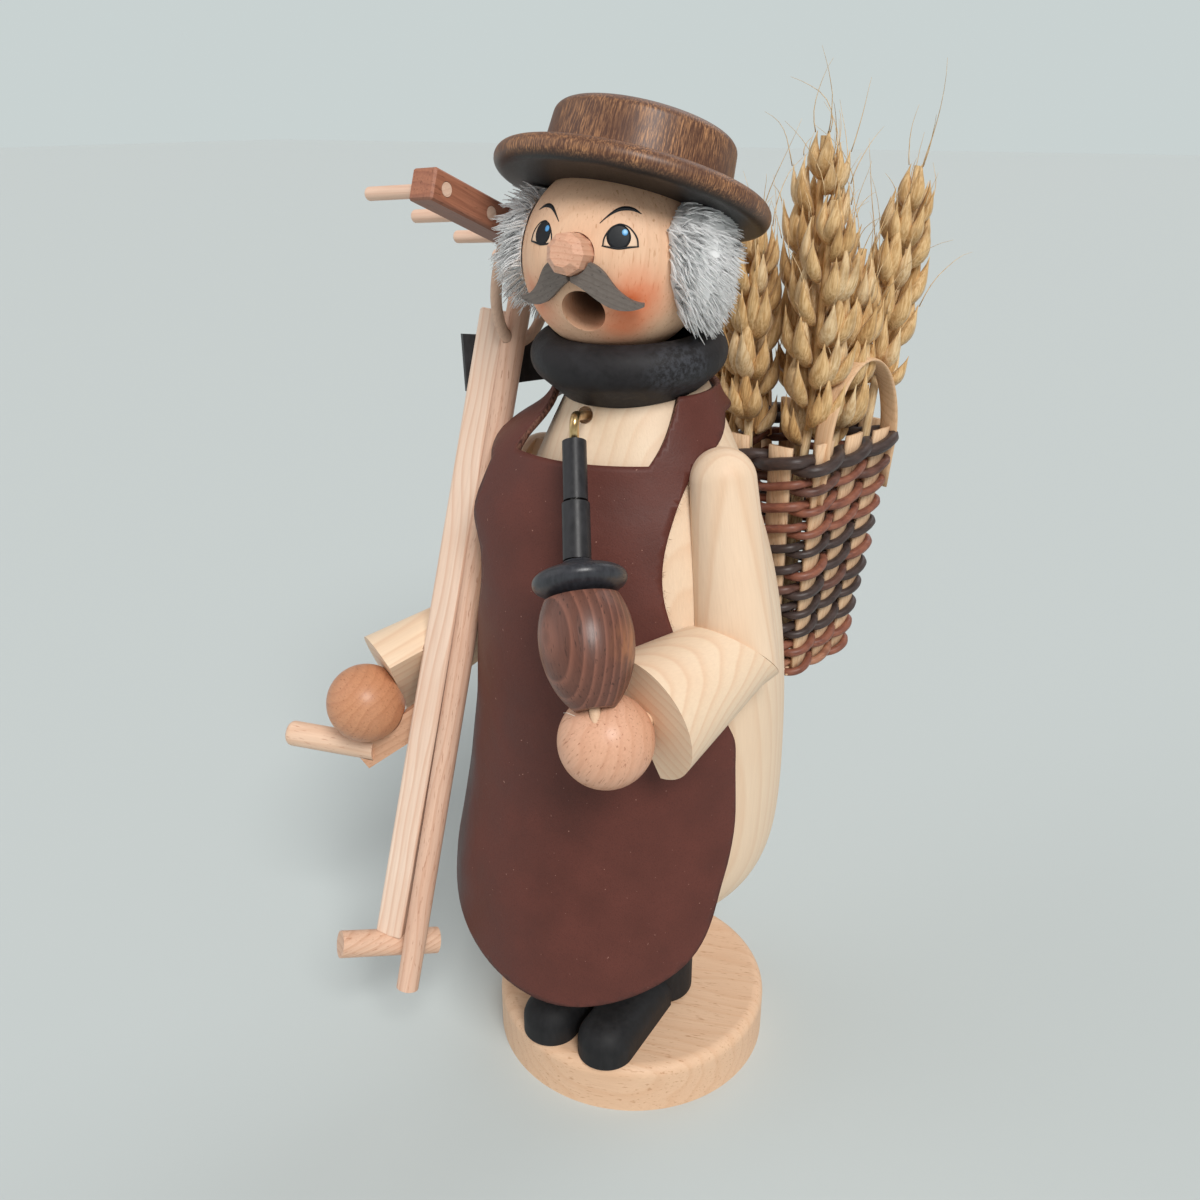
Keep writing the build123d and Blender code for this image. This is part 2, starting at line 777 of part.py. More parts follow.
def arm_plane(arm_turn, height, gap):
    """Plane of an arm's flat, a gap off the pear, its y up the body and its z outward."""
    around, up = math.radians(arm_turn), math.radians(arm_lean)
    side, ahead = math.sin(around), -math.cos(around)
    out = (side * math.cos(up), ahead * math.cos(up), math.sin(up))
    distance = body_radius(height) + gap
    return Plane(origin=(distance * side, distance * ahead, height), x_dir=(-ahead, side, 0), z_dir=out)


left_plane = arm_plane(left_arm_turn, left_arm_height, left_arm_gap)
right_plane = arm_plane(right_arm_turn, right_arm_height, right_arm_gap)
left_joint = left_plane.from_local_coords(Vector(*left_elbow))
right_joint = right_plane.from_local_coords(Vector(*right_elbow))
left_reach = left_plane.from_local_coords(Vector(*left_cuff)) - left_joint
right_reach = (Vector(*right_hand_centre) - right_joint).normalized() * right_fore_length
arms = [
    ("left", left_plane, left_joint, left_shoulder, left_reach, Vector(*left_hand_centre)),
    ("right", right_plane, right_joint, right_shoulder, right_reach, Vector(*right_hand_centre)),
]
pipe_foot = Vector(*left_hand_centre) + unit(pipe_seat) * hand_radius
stem_way = unit(stem_slope)
stem_length = upper_stem_length + stem_gap + lower_stem_length
stem_end = pipe_top_point + stem_way * stem_length
bowl_way = (pipe_foot - stem_end).normalized()
with BuildPart() as left_cuff_room:
    left_cuff_end = left_joint + left_reach + left_reach.normalized() * glue_gap
    add(round_bar(left_joint, left_cuff_end, cuff_radius + glue_gap).part)
foot_pin_start = pipe_foot - bowl_way * pipe_pin_depth
foot_pin_end = pipe_foot + bowl_way * pipe_pin_depth

for name, plane, joint, shoulder, fore_reach, hand_centre in arms:
    upper_reach = plane.from_local_coords(Vector(*shoulder)) - joint
    mitre = (upper_reach.normalized() - fore_reach.normalized()).normalized()
    fore_out = plane.z_dir - mitre * (2 * plane.z_dir.dot(mitre))
    wrist = hand_centre + fore_out * wrist_pin_offset
    wrist_end = wrist - fore_reach.normalized() * wrist_pin_length
    shoulder_pin_start = joint + upper_reach * shoulder_pin_share + plane.z_dir * arm_flat_inset
    shoulder_pin_end = shoulder_pin_start - plane.z_dir * shoulder_pin_length
    with BuildPart() as upper_arm:
        add(limb(joint, upper_reach, shoulder_radius, plane.z_dir, mitre).part)
        bore = round_bar(shoulder_pin_end, shoulder_pin_start, shoulder_pin_radius + glue_gap)
        add(bore.part, mode=Mode.SUBTRACT)
    export(upper_arm, name + "_upper_arm")
    with BuildPart(mode=Mode.PRIVATE) as bored_shell:
        add(body_shell.part)
        add(bore.part, mode=Mode.SUBTRACT)
    body_shell = bored_shell
    export(round_bar(shoulder_pin_end, shoulder_pin_start, shoulder_pin_radius), name + "_shoulder_pin")
    with BuildPart() as forearm:
        add(limb(joint, fore_reach, cuff_radius, fore_out, mitre * -1).part)
        wrist_bore = round_bar(wrist_end, wrist, wrist_pin_radius + glue_gap)
        add(wrist_bore.part, mode=Mode.SUBTRACT)
    export(forearm, name + "_forearm")
    with BuildPart() as hand:
        with Locations(hand_centre):
            Sphere(hand_radius)
        cuff_face = Plane(origin=joint + fore_reach, z_dir=fore_reach)
        split(bisect_by=cuff_face.offset(glue_gap), keep=Keep.TOP)
        add(wrist_bore.part, mode=Mode.SUBTRACT)
        if name == "left":
            add(round_bar(foot_pin_start, foot_pin_end, pipe_pin_radius + glue_gap).part, mode=Mode.SUBTRACT)
    export(hand, name + "_hand")
    export(round_bar(wrist_end, wrist, wrist_pin_radius), name + "_wrist_pin")

# Basket: a tapered box with round corners, its rim, side handles and peg
basket_spot = Location((basket_centre[0], basket_centre[1], 0), (0, 0, basket_turn))
wall_slope = (basket_top_side - basket_bottom_side) / 2 / (basket_rim_height - basket_floor)


def basket_box(inset, low, high):
    """Solid tapered box between two heights, inset from the basket's outer face."""
    with BuildPart() as piece:
        for height in (low, high):
            side = basket_bottom_side + 2 * wall_slope * (height - basket_floor) - 2 * inset
            with BuildSketch(Plane.XY.offset(height)):
                RectangleRounded(side, side, basket_corner - inset)
        loft()
    return piece.part.moved(basket_spot)


basket_hub = Vector(basket_centre[0], basket_centre[1], 0)
peg_way = basket_hub.normalized()
peg_reach = basket_hub.length - basket_bottom_side / 2
with BuildPart() as basket_peg:
    peg_start = peg_way * (belly_radius - peg_depth) + Vector(0, 0, peg_height)
    peg_end = peg_way * (peg_reach + peg_inside) + Vector(0, 0, peg_height)
    add(round_bar(peg_start, peg_end, peg_radius).part)
export(basket_peg, "basket_peg")
peg_bore = round_bar(peg_start, peg_end + peg_way * overrun, peg_radius + glue_gap)

with BuildPart(mode=Mode.PRIVATE) as pegged_shell:
    add(body_shell.part)
    add(peg_bore.part, mode=Mode.SUBTRACT)
export(pegged_shell, "body_shell")

with BuildPart() as basket_shell:
    add(basket_box(0, basket_floor, basket_rim_height))
    inside_low = basket_floor + basket_floor_thickness
    add(basket_box(basket_wall, inside_low, basket_rim_height + overrun), mode=Mode.SUBTRACT)
    add(peg_bore.part, mode=Mode.SUBTRACT)
export(basket_shell, "basket_shell")

slope_angle = math.atan(wall_slope)


def handle_strip(side, grow):
    """Bent splint flat on one side of the basket, from its seat up over the rim and back."""
    lay = handle_thickness + 2 * grow
    out = Vector(side * math.cos(slope_angle), 0, -math.sin(slope_angle))
    foot = (side * (basket_top_side / 2 + glue_gap - grow), 0, basket_rim_height)
    foot_plane = Plane(origin=foot, x_dir=(0, side, 0), z_dir=out)
    half = handle_span / 2
    shoulder = handle_rise - half
    with BuildPart() as piece:
        with BuildSketch(foot_plane):
            with BuildLine():
                Line((-half, -handle_seat), (-half, shoulder))
                ThreePointArc((-half, shoulder), (0, handle_rise), (half, shoulder))
                Line((half, shoulder), (half, -handle_seat))
                offset(amount=handle_width / 2 + grow, side=Side.BOTH, kind=Kind.ARC)
            make_face()
        extrude(amount=lay)
    return piece.part.moved(basket_spot)


for name, side in (("basket_handle_right", -1), ("basket_handle_left", 1)):
    with BuildPart() as handle:
        add(handle_strip(side, 0))
    export(handle, name)

with BuildPart() as basket_rim:
    rim_low = basket_rim_height + glue_gap
    for inset, mode in ((-rim_outset, Mode.ADD), (rim_thickness - rim_outset, Mode.SUBTRACT)):
        with BuildSketch(Plane.XY.offset(rim_low)):
            RectangleRounded(basket_top_side - 2 * inset, basket_top_side - 2 * inset, basket_corner - inset)
        extrude(amount=rim_height, mode=mode)
with BuildPart() as notched_rim:
    add(basket_rim.part.moved(basket_spot))
    for side in (-1, 1):
        add(handle_strip(side, glue_gap), mode=Mode.SUBTRACT)
export(notched_rim, "basket_rim")

# Wheat ears: a rippled spindle on its straw, standing on the basket's floor
for number, (foot_x, foot_y, tip_x, tip_y, above, length) in enumerate(ear_place_shares, 1):
    foot = basket_hub + Vector(foot_x, foot_y) * basket_top_side + Vector(0, 0, inside_low + glue_gap)
    tip = basket_hub + Vector(tip_x, tip_y, above) * basket_top_side + Vector(0, 0, basket_rim_height)
    way = (tip - foot).normalized()
    ear_length = length * basket_top_side
    ear_foot = tip - way * ear_length
    outline = []
    for step in range(2 * ear_rows + 1):
        share = step / (2 * ear_rows)
        swell = math.sin(math.pi * (0.08 + 0.84 * share)) ** 0.6
        waist = ear_waist_share if step % 2 == 0 else 1
        outline.append((ear_radius * swell * waist, share * ear_length))
    across = Vector(0, 1, 0).cross(way).normalized()
    with BuildPart() as ear:
        add(round_bar(foot, ear_foot + way * ear_radius, straw_radius).part)
        with BuildSketch(Plane(origin=ear_foot, x_dir=across, z_dir=across.cross(way))):
            with BuildLine():
                Polyline((0, 0), *outline, (0, ear_length), close=True)
            make_face()
        revolve(axis=Axis(ear_foot, way))
    export(ear, "wheat_ear_" + str(number))

# Pipe: hook and two stems on one axis, lid and bowl on another that leans on to the hand, joined by pins
bowl_across = Vector(0, 0, 1).cross(bowl_way).normalized()
bowl_section = Plane(origin=stem_end, x_dir=bowl_across, z_dir=bowl_across.cross(bowl_way))
lower_stem_start = upper_stem_length + stem_gap
lower_stem_end = lower_stem_start + lower_stem_length
lid_start = glue_gap
bowl_start = lid_start + lid_height + glue_gap
bowl_length = (pipe_foot - stem_end).length - bowl_start


def on_stem(distance):
    return pipe_top_point + stem_way * distance


def on_bowl(distance):
    return stem_end + bowl_way * distance


def pipe_turning(start, length, radius, shares):
    """Turning on the bowl's axis, its outline given as shares of its length and radius."""
    points = [(share_r * radius, start + share_y * length) for share_y, share_r in shares]
    with BuildPart() as piece:
        with BuildSketch(bowl_section):
            with BuildLine():
                Spline(*points)
                Polyline(points[-1], (0, points[-1][1]), (0, points[0][1]), points[0])
            make_face()
        revolve(axis=Axis(stem_end, bowl_way))
    return piece


def hook_wire(grow):
    with BuildPart() as piece:
        with BuildLine():
            FilletPolyline(
                on_stem(pipe_pin_depth), pipe_top_point, hook_shoulder, Vector(*hook_end), radius=hook_bend
            )
        with BuildSketch(Plane(origin=on_stem(pipe_pin_depth), z_dir=stem_way * -1)):
            Circle(hook_radius + grow)
        sweep()
    return piece


def core_pin(grow):
    ends = (on_stem(upper_stem_length - pipe_pin_depth), on_stem(lower_stem_start + pipe_pin_depth))
    return round_bar(ends[0], ends[1], pipe_pin_radius + grow)


def lid_pin(grow):
    return round_bar(on_bowl(-pipe_pin_depth), on_bowl(bowl_start + pipe_pin_depth), pipe_pin_radius + grow)


export(hook_wire(0), "pipe_hook")
export(core_pin(0), "pipe_core")
export(lid_pin(0), "pipe_lid_pin")
export(round_bar(foot_pin_start, foot_pin_end, pipe_pin_radius), "pipe_foot_pin")

with BuildPart() as pipe_lid:
    add(pipe_turning(lid_start, lid_height, lid_radius, lid_shares).part)
    add(lid_pin(glue_gap).part, mode=Mode.SUBTRACT)
    add(apron_room.part, mode=Mode.SUBTRACT)
export(pipe_lid, "pipe_lid")
with BuildPart() as lid_room:
    add(pipe_turning(lid_start - glue_gap, lid_height + 2 * glue_gap, lid_radius, lid_shares).part)

with BuildPart() as pipe_upper_stem:
    add(round_bar(on_stem(0), on_stem(upper_stem_length), stem_radius).part)
    add(hook_wire(glue_gap).part, mode=Mode.SUBTRACT)
    add(core_pin(glue_gap).part, mode=Mode.SUBTRACT)
export(pipe_upper_stem, "pipe_upper_stem")

with BuildPart() as pipe_lower_stem:
    add(round_bar(on_stem(lower_stem_start), on_stem(lower_stem_end), lower_stem_radius).part)
    add(core_pin(glue_gap).part, mode=Mode.SUBTRACT)
    add(lid_pin(glue_gap).part, mode=Mode.SUBTRACT)
    add(lid_room.part, mode=Mode.SUBTRACT)
export(pipe_lower_stem, "pipe_lower_stem")

with BuildPart() as pipe_bowl:
    add(pipe_turning(bowl_start, bowl_length, bowl_radius, bowl_shares).part)
    add(lid_pin(glue_gap).part, mode=Mode.SUBTRACT)
    add(round_bar(foot_pin_start, foot_pin_end, pipe_pin_radius + glue_gap).part, mode=Mode.SUBTRACT)
    add(apron_room.part, mode=Mode.SUBTRACT)
    add(left_cuff_room.part, mode=Mode.SUBTRACT)
    with Locations(Vector(*left_hand_centre)):
        Sphere(hand_radius + glue_gap, mode=Mode.SUBTRACT)
export(pipe_bowl, "pipe_bowl")

# Rake: handle, head bar with its teeth, and the bent brace through the handle
bar_along, bar_up = unit(rake_along), unit(rake_up)
bar_teeth_way = bar_along.cross(bar_up)
bar_centre = Vector(*rake_head_centre)
handle_way = (bar_centre - Vector(*rake_foot)).normalized()
handle_end = bar_centre - handle_way * rake_tenon_end
handle_hole_end = handle_end + handle_way * glue_gap


def brace_wire(grow):
    points = []
    for side, shares in ((1, brace_shares), (-1, brace_shares[-2::-1])):
        for across, down in shares:
            level = bar_centre - bar_up * brace_socket * (1 - down) - handle_way * brace_drop * down
            points.append(level + bar_along * (side * across * brace_half))
    with BuildPart() as piece:
        with BuildLine():
            bow = Spline(*points)
        with BuildSketch(Plane(origin=bow @ 0, z_dir=bow % 0)):
            Circle(brace_radius + grow)
        sweep()
    return piece


def rake_teeth_bars(grow):
    with BuildPart() as piece:
        for place in range(tooth_count):
            spot = bar_centre + bar_along * (tooth_first - tooth_pitch * place)
            start = spot - bar_teeth_way * (rake_bar_side / 2)
            end = spot + bar_teeth_way * (rake_bar_side / 2 + tooth_length)
            add(round_bar(start, end, tooth_radius + grow, tooth_edge).part)
    return piece


export(brace_wire(0), "rake_brace")
export(rake_teeth_bars(0), "rake_teeth")
with BuildPart() as rake_head:
    with BuildSketch(Plane(origin=bar_centre + bar_along * rake_bar_shift, x_dir=bar_along, z_dir=bar_up)):
        Rectangle(2 * rake_bar_half, rake_bar_side)
    extrude(amount=rake_bar_side / 2, both=True)
    chamfer(rake_head.edges(), rake_bar_edge)
    add(rake_teeth_bars(glue_gap).part, mode=Mode.SUBTRACT)
    add(brace_wire(glue_gap).part, mode=Mode.SUBTRACT)
    add(round_bar(rake_foot, handle_hole_end, rake_radius + glue_gap).part, mode=Mode.SUBTRACT)
export(rake_head, "rake_head")

with BuildPart() as rake_handle:
    add(round_bar(rake_foot, handle_end, rake_radius).part)
    add(brace_wire(glue_gap).part, mode=Mode.SUBTRACT)
export(rake_handle, "rake_handle")
rake_room = round_bar(rake_foot, handle_end, rake_radius + glue_gap)

# Scythe: square snath with its grips, and the blade riveted to its back
grip_angle = math.radians(end_grip_turn)
grip_level = Vector(math.cos(grip_angle), math.sin(grip_angle), 0)
grip_way = (grip_level - snath_way * grip_level.dot(snath_way)).normalized()
end_grip_centre = snath_start - snath_way * end_grip_seat
end_grip_start = end_grip_centre - grip_way * (end_grip_length / 2)
end_grip_end = end_grip_centre + grip_way * (end_grip_length / 2)
blade_angle = math.radians(blade_turn)
blade_way = Vector(math.cos(blade_angle), math.sin(blade_angle), 0)
blade_out = blade_way.cross(snath_way).normalized()
blade_up = blade_out.cross(blade_way)
blade_drop = blade_below_top + blade_root_width / 2
blade_spot = Vector(*snath_top) - snath_way * blade_drop - blade_out * blade_back


def blade_plate(grow):
    with BuildPart() as piece:
        with BuildSketch(Plane(origin=blade_spot + blade_out * grow, x_dir=blade_way, z_dir=blade_out * -1)):
            with BuildLine():
                top = [(x * blade_length - blade_root, -y * blade_root_width) for x, y in blade_top_shares]
                edge = [(x * blade_length - blade_root, -y * blade_root_width) for x, y in blade_edge_shares]
                Spline(*top)
                Line(top[-1], edge[0])
                Spline(*edge)
                Line(edge[-1], top[0])
            make_face()
        extrude(amount=blade_thickness + 2 * grow)
    return piece


rivet_start = blade_spot - blade_out * (blade_thickness + rivet_proud)
rivet_end = blade_spot + blade_out * (snath_thickness / 2)
with BuildPart() as blade_rivet:
    add(round_bar(rivet_end, rivet_start, rivet_radius).part)
export(blade_rivet, "blade_rivet")
rivet_bore = round_bar(rivet_end, rivet_start - blade_out, rivet_radius + glue_gap)
with BuildPart() as scythe_blade:
    add(blade_plate(0).part)
    add(rivet_bore.part, mode=Mode.SUBTRACT)
export(scythe_blade, "scythe_blade")

with BuildPart() as grip_arm:
    arm_way = Vector(*grip_arm_end) - Vector(*grip_arm_root)
    with BuildSketch(Plane(origin=grip_arm_root, x_dir=arm_way.cross(Vector(0, 0, 1)), z_dir=arm_way)):
        Rectangle(grip_arm_thickness, grip_arm_width)
    extrude(amount=arm_way.length)
    add(round_bar(mid_grip_start, mid_grip_end, mid_grip_radius + glue_gap).part, mode=Mode.SUBTRACT)
    with Locations(Vector(*right_hand_centre)):
        Sphere(hand_radius + glue_gap, mode=Mode.SUBTRACT)
    add(rake_room.part, mode=Mode.SUBTRACT)
export(grip_arm, "scythe_grip_arm")

with BuildPart() as mid_grip:
    add(round_bar(mid_grip_start, mid_grip_end, mid_grip_radius, grip_edge).part)
    with Locations(Vector(*right_hand_centre)):
        Sphere(hand_radius + glue_gap, mode=Mode.SUBTRACT)
export(mid_grip, "scythe_mid_grip")
export(round_bar(end_grip_start, end_grip_end, end_grip_radius), "scythe_end_grip")

with BuildPart() as snath:
    add(snath_stick(0).part)
    chamfer(snath.edges(), snath_edge)
    add(round_bar(end_grip_start, end_grip_end, end_grip_radius + glue_gap).part, mode=Mode.SUBTRACT)
    add(rake_room.part, mode=Mode.SUBTRACT)
    add(blade_plate(glue_gap).part, mode=Mode.SUBTRACT)
    add(rivet_bore.part, mode=Mode.SUBTRACT)
    arm_room = Plane(origin=grip_arm_root, x_dir=arm_way.cross(Vector(0, 0, 1)), z_dir=arm_way)
    with BuildSketch(arm_room.offset(-glue_gap)):
        Rectangle(grip_arm_thickness + 2 * glue_gap, grip_arm_width + 2 * glue_gap)
    extrude(amount=2 * snath_width, mode=Mode.SUBTRACT)
export(snath, "scythe_snath")
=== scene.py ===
import math

import bpy
import numpy as np
from mathutils import Matrix, Vector
from mathutils.geometry import delaunay_2d_cdt


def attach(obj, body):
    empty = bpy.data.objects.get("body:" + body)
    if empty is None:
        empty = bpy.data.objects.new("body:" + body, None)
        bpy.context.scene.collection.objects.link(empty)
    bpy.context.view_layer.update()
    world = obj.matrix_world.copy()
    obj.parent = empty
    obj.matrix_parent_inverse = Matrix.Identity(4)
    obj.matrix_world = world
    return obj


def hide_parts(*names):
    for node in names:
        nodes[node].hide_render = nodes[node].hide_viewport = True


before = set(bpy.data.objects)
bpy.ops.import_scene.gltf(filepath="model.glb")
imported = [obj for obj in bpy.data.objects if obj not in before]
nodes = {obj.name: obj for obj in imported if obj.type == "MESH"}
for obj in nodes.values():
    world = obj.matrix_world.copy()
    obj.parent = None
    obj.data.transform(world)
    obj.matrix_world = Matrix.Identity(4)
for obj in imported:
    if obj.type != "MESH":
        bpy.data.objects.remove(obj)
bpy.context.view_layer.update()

MM = 0.001


# Mesh helpers
class Mesh:
    """Collects vertices and faces in millimetres, with a material index for each face."""

    def __init__(self):
        self.points, self.faces, self.slots = [], [], []

    def add(self, points, faces, slot=0):
        first = len(self.points)
        self.points.extend([tuple(p) for p in points])
        self.faces.extend([tuple(first + i for i in f) for f in faces])
        self.slots.extend([slot] * len(faces))

    def loft(self, rings, slot=0, closed=False):
        """Skin over rings of as many points each, with end caps unless it closes on itself."""
        count, sides = len(rings), len(rings[0])
        faces = []
        for i in range(count if closed else count - 1):
            a, b = i * sides, (i + 1) % count * sides
            for k in range(sides):
                m = (k + 1) % sides
                faces.append((a + k, a + m, b + m, b + k))
        if not closed:
            faces.append(tuple(reversed(range(sides))))
            faces.append(tuple(range((count - 1) * sides, count * sides)))
        self.add([p for ring in rings for p in ring], faces, slot)

    def tube(self, path, radii, sides=6, slot=0, flat=1.0, across=None, closed=False):
        """Tube along a path. flat squeezes its section along the second axis, across sets the first."""
        path = [Vector(p) for p in path]
        count = len(path)
        if not hasattr(radii, "__len__"):
            radii = [radii] * count
        normal = None
        rings = []
        for i, p in enumerate(path):
            if closed:
                way = path[(i + 1) % count] - path[i - 1]
            else:
                way = path[min(i + 1, count - 1)] - path[max(i - 1, 0)]
            way.normalize()
            if across is not None:
                normal = Vector(across)
            elif normal is None:
                normal = way.orthogonal()
            normal = normal - way * normal.dot(way)
            if normal.length < 1e-9:
                normal = way.orthogonal()
            normal.normalize()
            other = way.cross(normal)
            angles = [2 * math.pi * (k + 0.5) / sides for k in range(sides)]
            rings.append([
                p + (normal * math.cos(a) + other * math.sin(a) * flat) * radii[i] for a in angles
            ])
        self.loft(rings, slot, closed)

    def make(self, name, *looks):
        """The object, its looks in the order of their face indices."""
        mesh = bpy.data.meshes.new(name)
        mesh.from_pydata([(x * MM, y * MM, z * MM) for x, y, z in self.points], [], self.faces)
        mesh.validate()
        for look in looks:
            mesh.materials.append(look.material)
        mesh.polygons.foreach_set("material_index", self.slots[: len(mesh.polygons)])
        mesh.polygons.foreach_set("use_smooth", [True] * len(mesh.polygons))
        mesh.update()
        obj = bpy.data.objects.new(name, mesh)
        bpy.context.scene.collection.objects.link(obj)
        return obj


def lerp(a, b, t):
    return a + (b - a) * t


def table_at(rows, x):
    """Linear look-up in rows of (x, value, value, ...)."""
    if x <= rows[0][0]:
        return list(rows[0][1:])
    for low, high in zip(rows, rows[1:]):
        if x <= high[0]:
            t = (x - low[0]) / (high[0] - low[0])
            return [lerp(a, b, t) for a, b in zip(low[1:], high[1:])]
    return list(rows[-1][1:])


def smooth_points(points, samples):
    """Catmull-Rom curve through points, with a number of samples in each span."""
    out = []
    last = len(points) - 1
    for i in range(last):
        p = [Vector(points[max(0, min(last, i + k))]) for k in (-1, 0, 1, 2)]
        for s in range(samples):
            t = s / samples
            bend = (2 * p[0] - 5 * p[1] + 4 * p[2] - p[3]) * t * t
            twist = (3 * p[1] - p[0] - 3 * p[2] + p[3]) * t ** 3
            out.append(0.5 * (2 * p[1] + (p[2] - p[0]) * t + bend + twist))
    out.append(Vector(points[-1]))
    return out


# Materials
class Look:
    """A material being built: a thin wrapper on its node tree."""

    def __init__(self, name, rough=0.5, **shader):
        self.material = bpy.data.materials.new(name)
        self.material.use_nodes = True
        self.tree = self.material.node_tree
        self.shader = next(n for n in self.tree.nodes if n.type == "BSDF_PRINCIPLED")
        self.shader.inputs["Roughness"].default_value = rough
        self.shader.inputs["Specular IOR Level"].default_value = 0.3
        for key, value in shader.items():
            self.shader.inputs[key.replace("_", " ")].default_value = value
        self.coords = self.node("ShaderNodeTexCoord").outputs["Object"]
        self.heights = []

    def node(self, kind, props=None, **inputs):
        made = self.tree.nodes.new(kind)
        for key, value in (props or {}).items():
            setattr(made, key, value)
        for key, value in inputs.items():
            socket = made.inputs[int(key[1:])] if key[0] == "i" and key[1:].isdigit() else made.inputs[key]
            if isinstance(value, bpy.types.NodeSocket):
                self.tree.links.new(value, socket)
            else:
                socket.default_value = value
        return made

    def math(self, kind, a, b=0.0):
        return self.node("ShaderNodeMath", {"operation": kind}, i0=a, i1=b).outputs[0]

    def times(self, a, b):
        return self.math("MULTIPLY", a, b)

    def vector_math(self, kind, a, b=(0, 0, 0), output="Value"):
        return self.node("ShaderNodeVectorMath", {"operation": kind}, i0=a, i1=b).outputs[output]

    def span(self, value, low, high, first=0.0, last=1.0, kind="LINEAR"):
        """Runs from first to last while a value runs from low to high."""
        props = {"interpolation_type": kind}
        return self.node("ShaderNodeMapRange", props, i0=value, i1=low, i2=high, i3=first, i4=last).outputs[0]

    def along(self, axis, stretch=1.0, move=(0, 0, 0)):
        """Coordinates in millimetres whose z runs along an axis, squeezed along it."""
        turn = Vector(axis).normalized().rotation_difference(Vector((0, 0, 1))).to_euler()
        turned = self.node("ShaderNodeMapping", Vector=self.coords, Rotation=turn, Scale=(1000, 1000, 1000))
        scale = (1, 1, stretch)
        return self.node("ShaderNodeMapping", Vector=turned.outputs[0], Location=move, Scale=scale).outputs[0]

    def grain(self, scale, detail=3.0, rough=0.5, axis=(0, 0, 1), stretch=1.0, move=(0, 0, 0)):
        """Noise in waves per millimetre, drawn out along an axis where stretch is under 1."""
        vector = self.along(axis, stretch, move)
        made = self.node("ShaderNodeTexNoise", Vector=vector, Scale=scale, Detail=detail, Roughness=rough)
        return made.outputs["Fac"]

    def ramp(self, fac, *stops):
        made = self.node("ShaderNodeValToRGB", Fac=fac)
        band = made.color_ramp
        while len(band.elements) < len(stops):
            band.elements.new(0.5)
        for element, (place, value) in zip(band.elements, stops):
            element.position = place
            element.color = (*value, 1) if hasattr(value, "__len__") else (value, value, value, 1)
        return made.outputs[0]

    def rise(self, fac, start, end):
        """0 up to start and 1 from end on."""
        return self.ramp(fac, (start, 0.0), (end, 1.0))

    def mix(self, fac, a, b):
        made = self.node("ShaderNodeMix", {"data_type": "RGBA"})
        for socket, value in ((made.inputs[0], fac), (made.inputs[6], a), (made.inputs[7], b)):
            if isinstance(value, bpy.types.NodeSocket):
                self.tree.links.new(value, socket)
            elif hasattr(value, "__len__"):
                socket.default_value = (*value, 1) if len(value) == 3 else value
            else:
                socket.default_value = value
        return made.outputs[2]

    def near(self, centre, radius, soft):
        """1 near a point in millimetres, falling to 0 over soft millimetres beyond the radius."""
        away = self.vector_math("DISTANCE", self.coords, [v * MM for v in centre])
        return self.span(away, (radius + soft) * MM, max(0.0, radius - soft) * MM, kind="SMOOTHSTEP")

    def beyond(self, origin, axis, start, end):
        """0 before start and 1 after end, in millimetres along an axis from an origin."""
        way = Vector(axis).normalized()
        reach = self.vector_math("DOT_PRODUCT", self.coords, list(way))
        base = Vector(origin).dot(way)
        return self.span(reach, (base + start) * MM, (base + end) * MM)

    def colour(self, socket):
        if isinstance(socket, bpy.types.NodeSocket):
            self.tree.links.new(socket, self.shader.inputs["Base Color"])
        else:
            self.shader.inputs["Base Color"].default_value = (*socket, 1)

    def rough_between(self, fac, low, high, smooth, coarse):
        """Roughness that runs from smooth to coarse while a factor runs from low to high."""
        made = self.span(fac, low, high, smooth, coarse)
        self.tree.links.new(made, self.shader.inputs["Roughness"])

    def bump(self, height, depth):
        """Adds a height, in shares of depth millimetres."""
        made = self.node("ShaderNodeBump", Height=height, Strength=1.0, Distance=depth * MM)
        if self.heights:
            self.tree.links.new(self.heights[-1], made.inputs["Normal"])
        self.heights.append(made.outputs[0])
        self.tree.links.new(made.outputs[0], self.shader.inputs["Normal"])


def wood(
    name, early, late, axis=(0, 0, 1), pith=(30, 12), ring=2.6, rings=0.6, fleck=None, streak=0.16, rough=0.5,
    ring_wave=1.2, seed=0.0, bump=0.05, finish=True, **shader
):
    """Lacquered wood: growth rings about a pith line, fibres along the grain and short dark flecks."""
    look = Look(name, rough, **shader)
    slow = look.grain(0.07, 2.0, axis=axis, stretch=0.25, move=(seed, 0, seed))
    from_pith = look.along(axis, 0.02, (-pith[0], -pith[1], 0))
    away = look.vector_math("LENGTH", look.vector_math("MULTIPLY", from_pith, (1, 1, 0.6), "Vector"))
    away = look.math("ADD", away, look.times(slow, ring_wave * ring * 4))
    phase = look.math("FRACT", look.math("DIVIDE", away, ring))
    band = look.ramp(phase, (0.0, 0.0), (0.55, 0.25), (0.86, 1.0), (1.0, 0.0))
    fibre = look.grain(2.4, 4.0, 0.65, axis=axis, stretch=0.035, move=(seed, seed, 0))
    broad = look.grain(0.05, 2.0, axis=axis, move=(seed * 7.1, seed * 3.7, seed * 11.3))
    base = look.mix(look.times(band, rings), early, late)
    base = look.mix(look.ramp(fibre, (0.3, streak), (0.62, 0.0)), base, [c * 0.62 for c in late])
    base = look.mix(look.ramp(broad, (0.35, 0.22), (0.65, 0.0)), base, [c * 1.04 for c in late])
    if fleck:
        dash = look.grain(2.2, 2.0, 0.6, axis=axis, stretch=0.16, move=(seed, 5, 5))
        base = look.mix(look.ramp(dash, (0.60, 0.0), (0.72, 0.75)), base, fleck)
    look.rough_between(fibre, 0.2, 0.8, max(0.05, rough - 0.07), min(1.0, rough + 0.1))
    look.bump(fibre, bump)
    look.base = base
    if finish:
        look.colour(base)
    return look


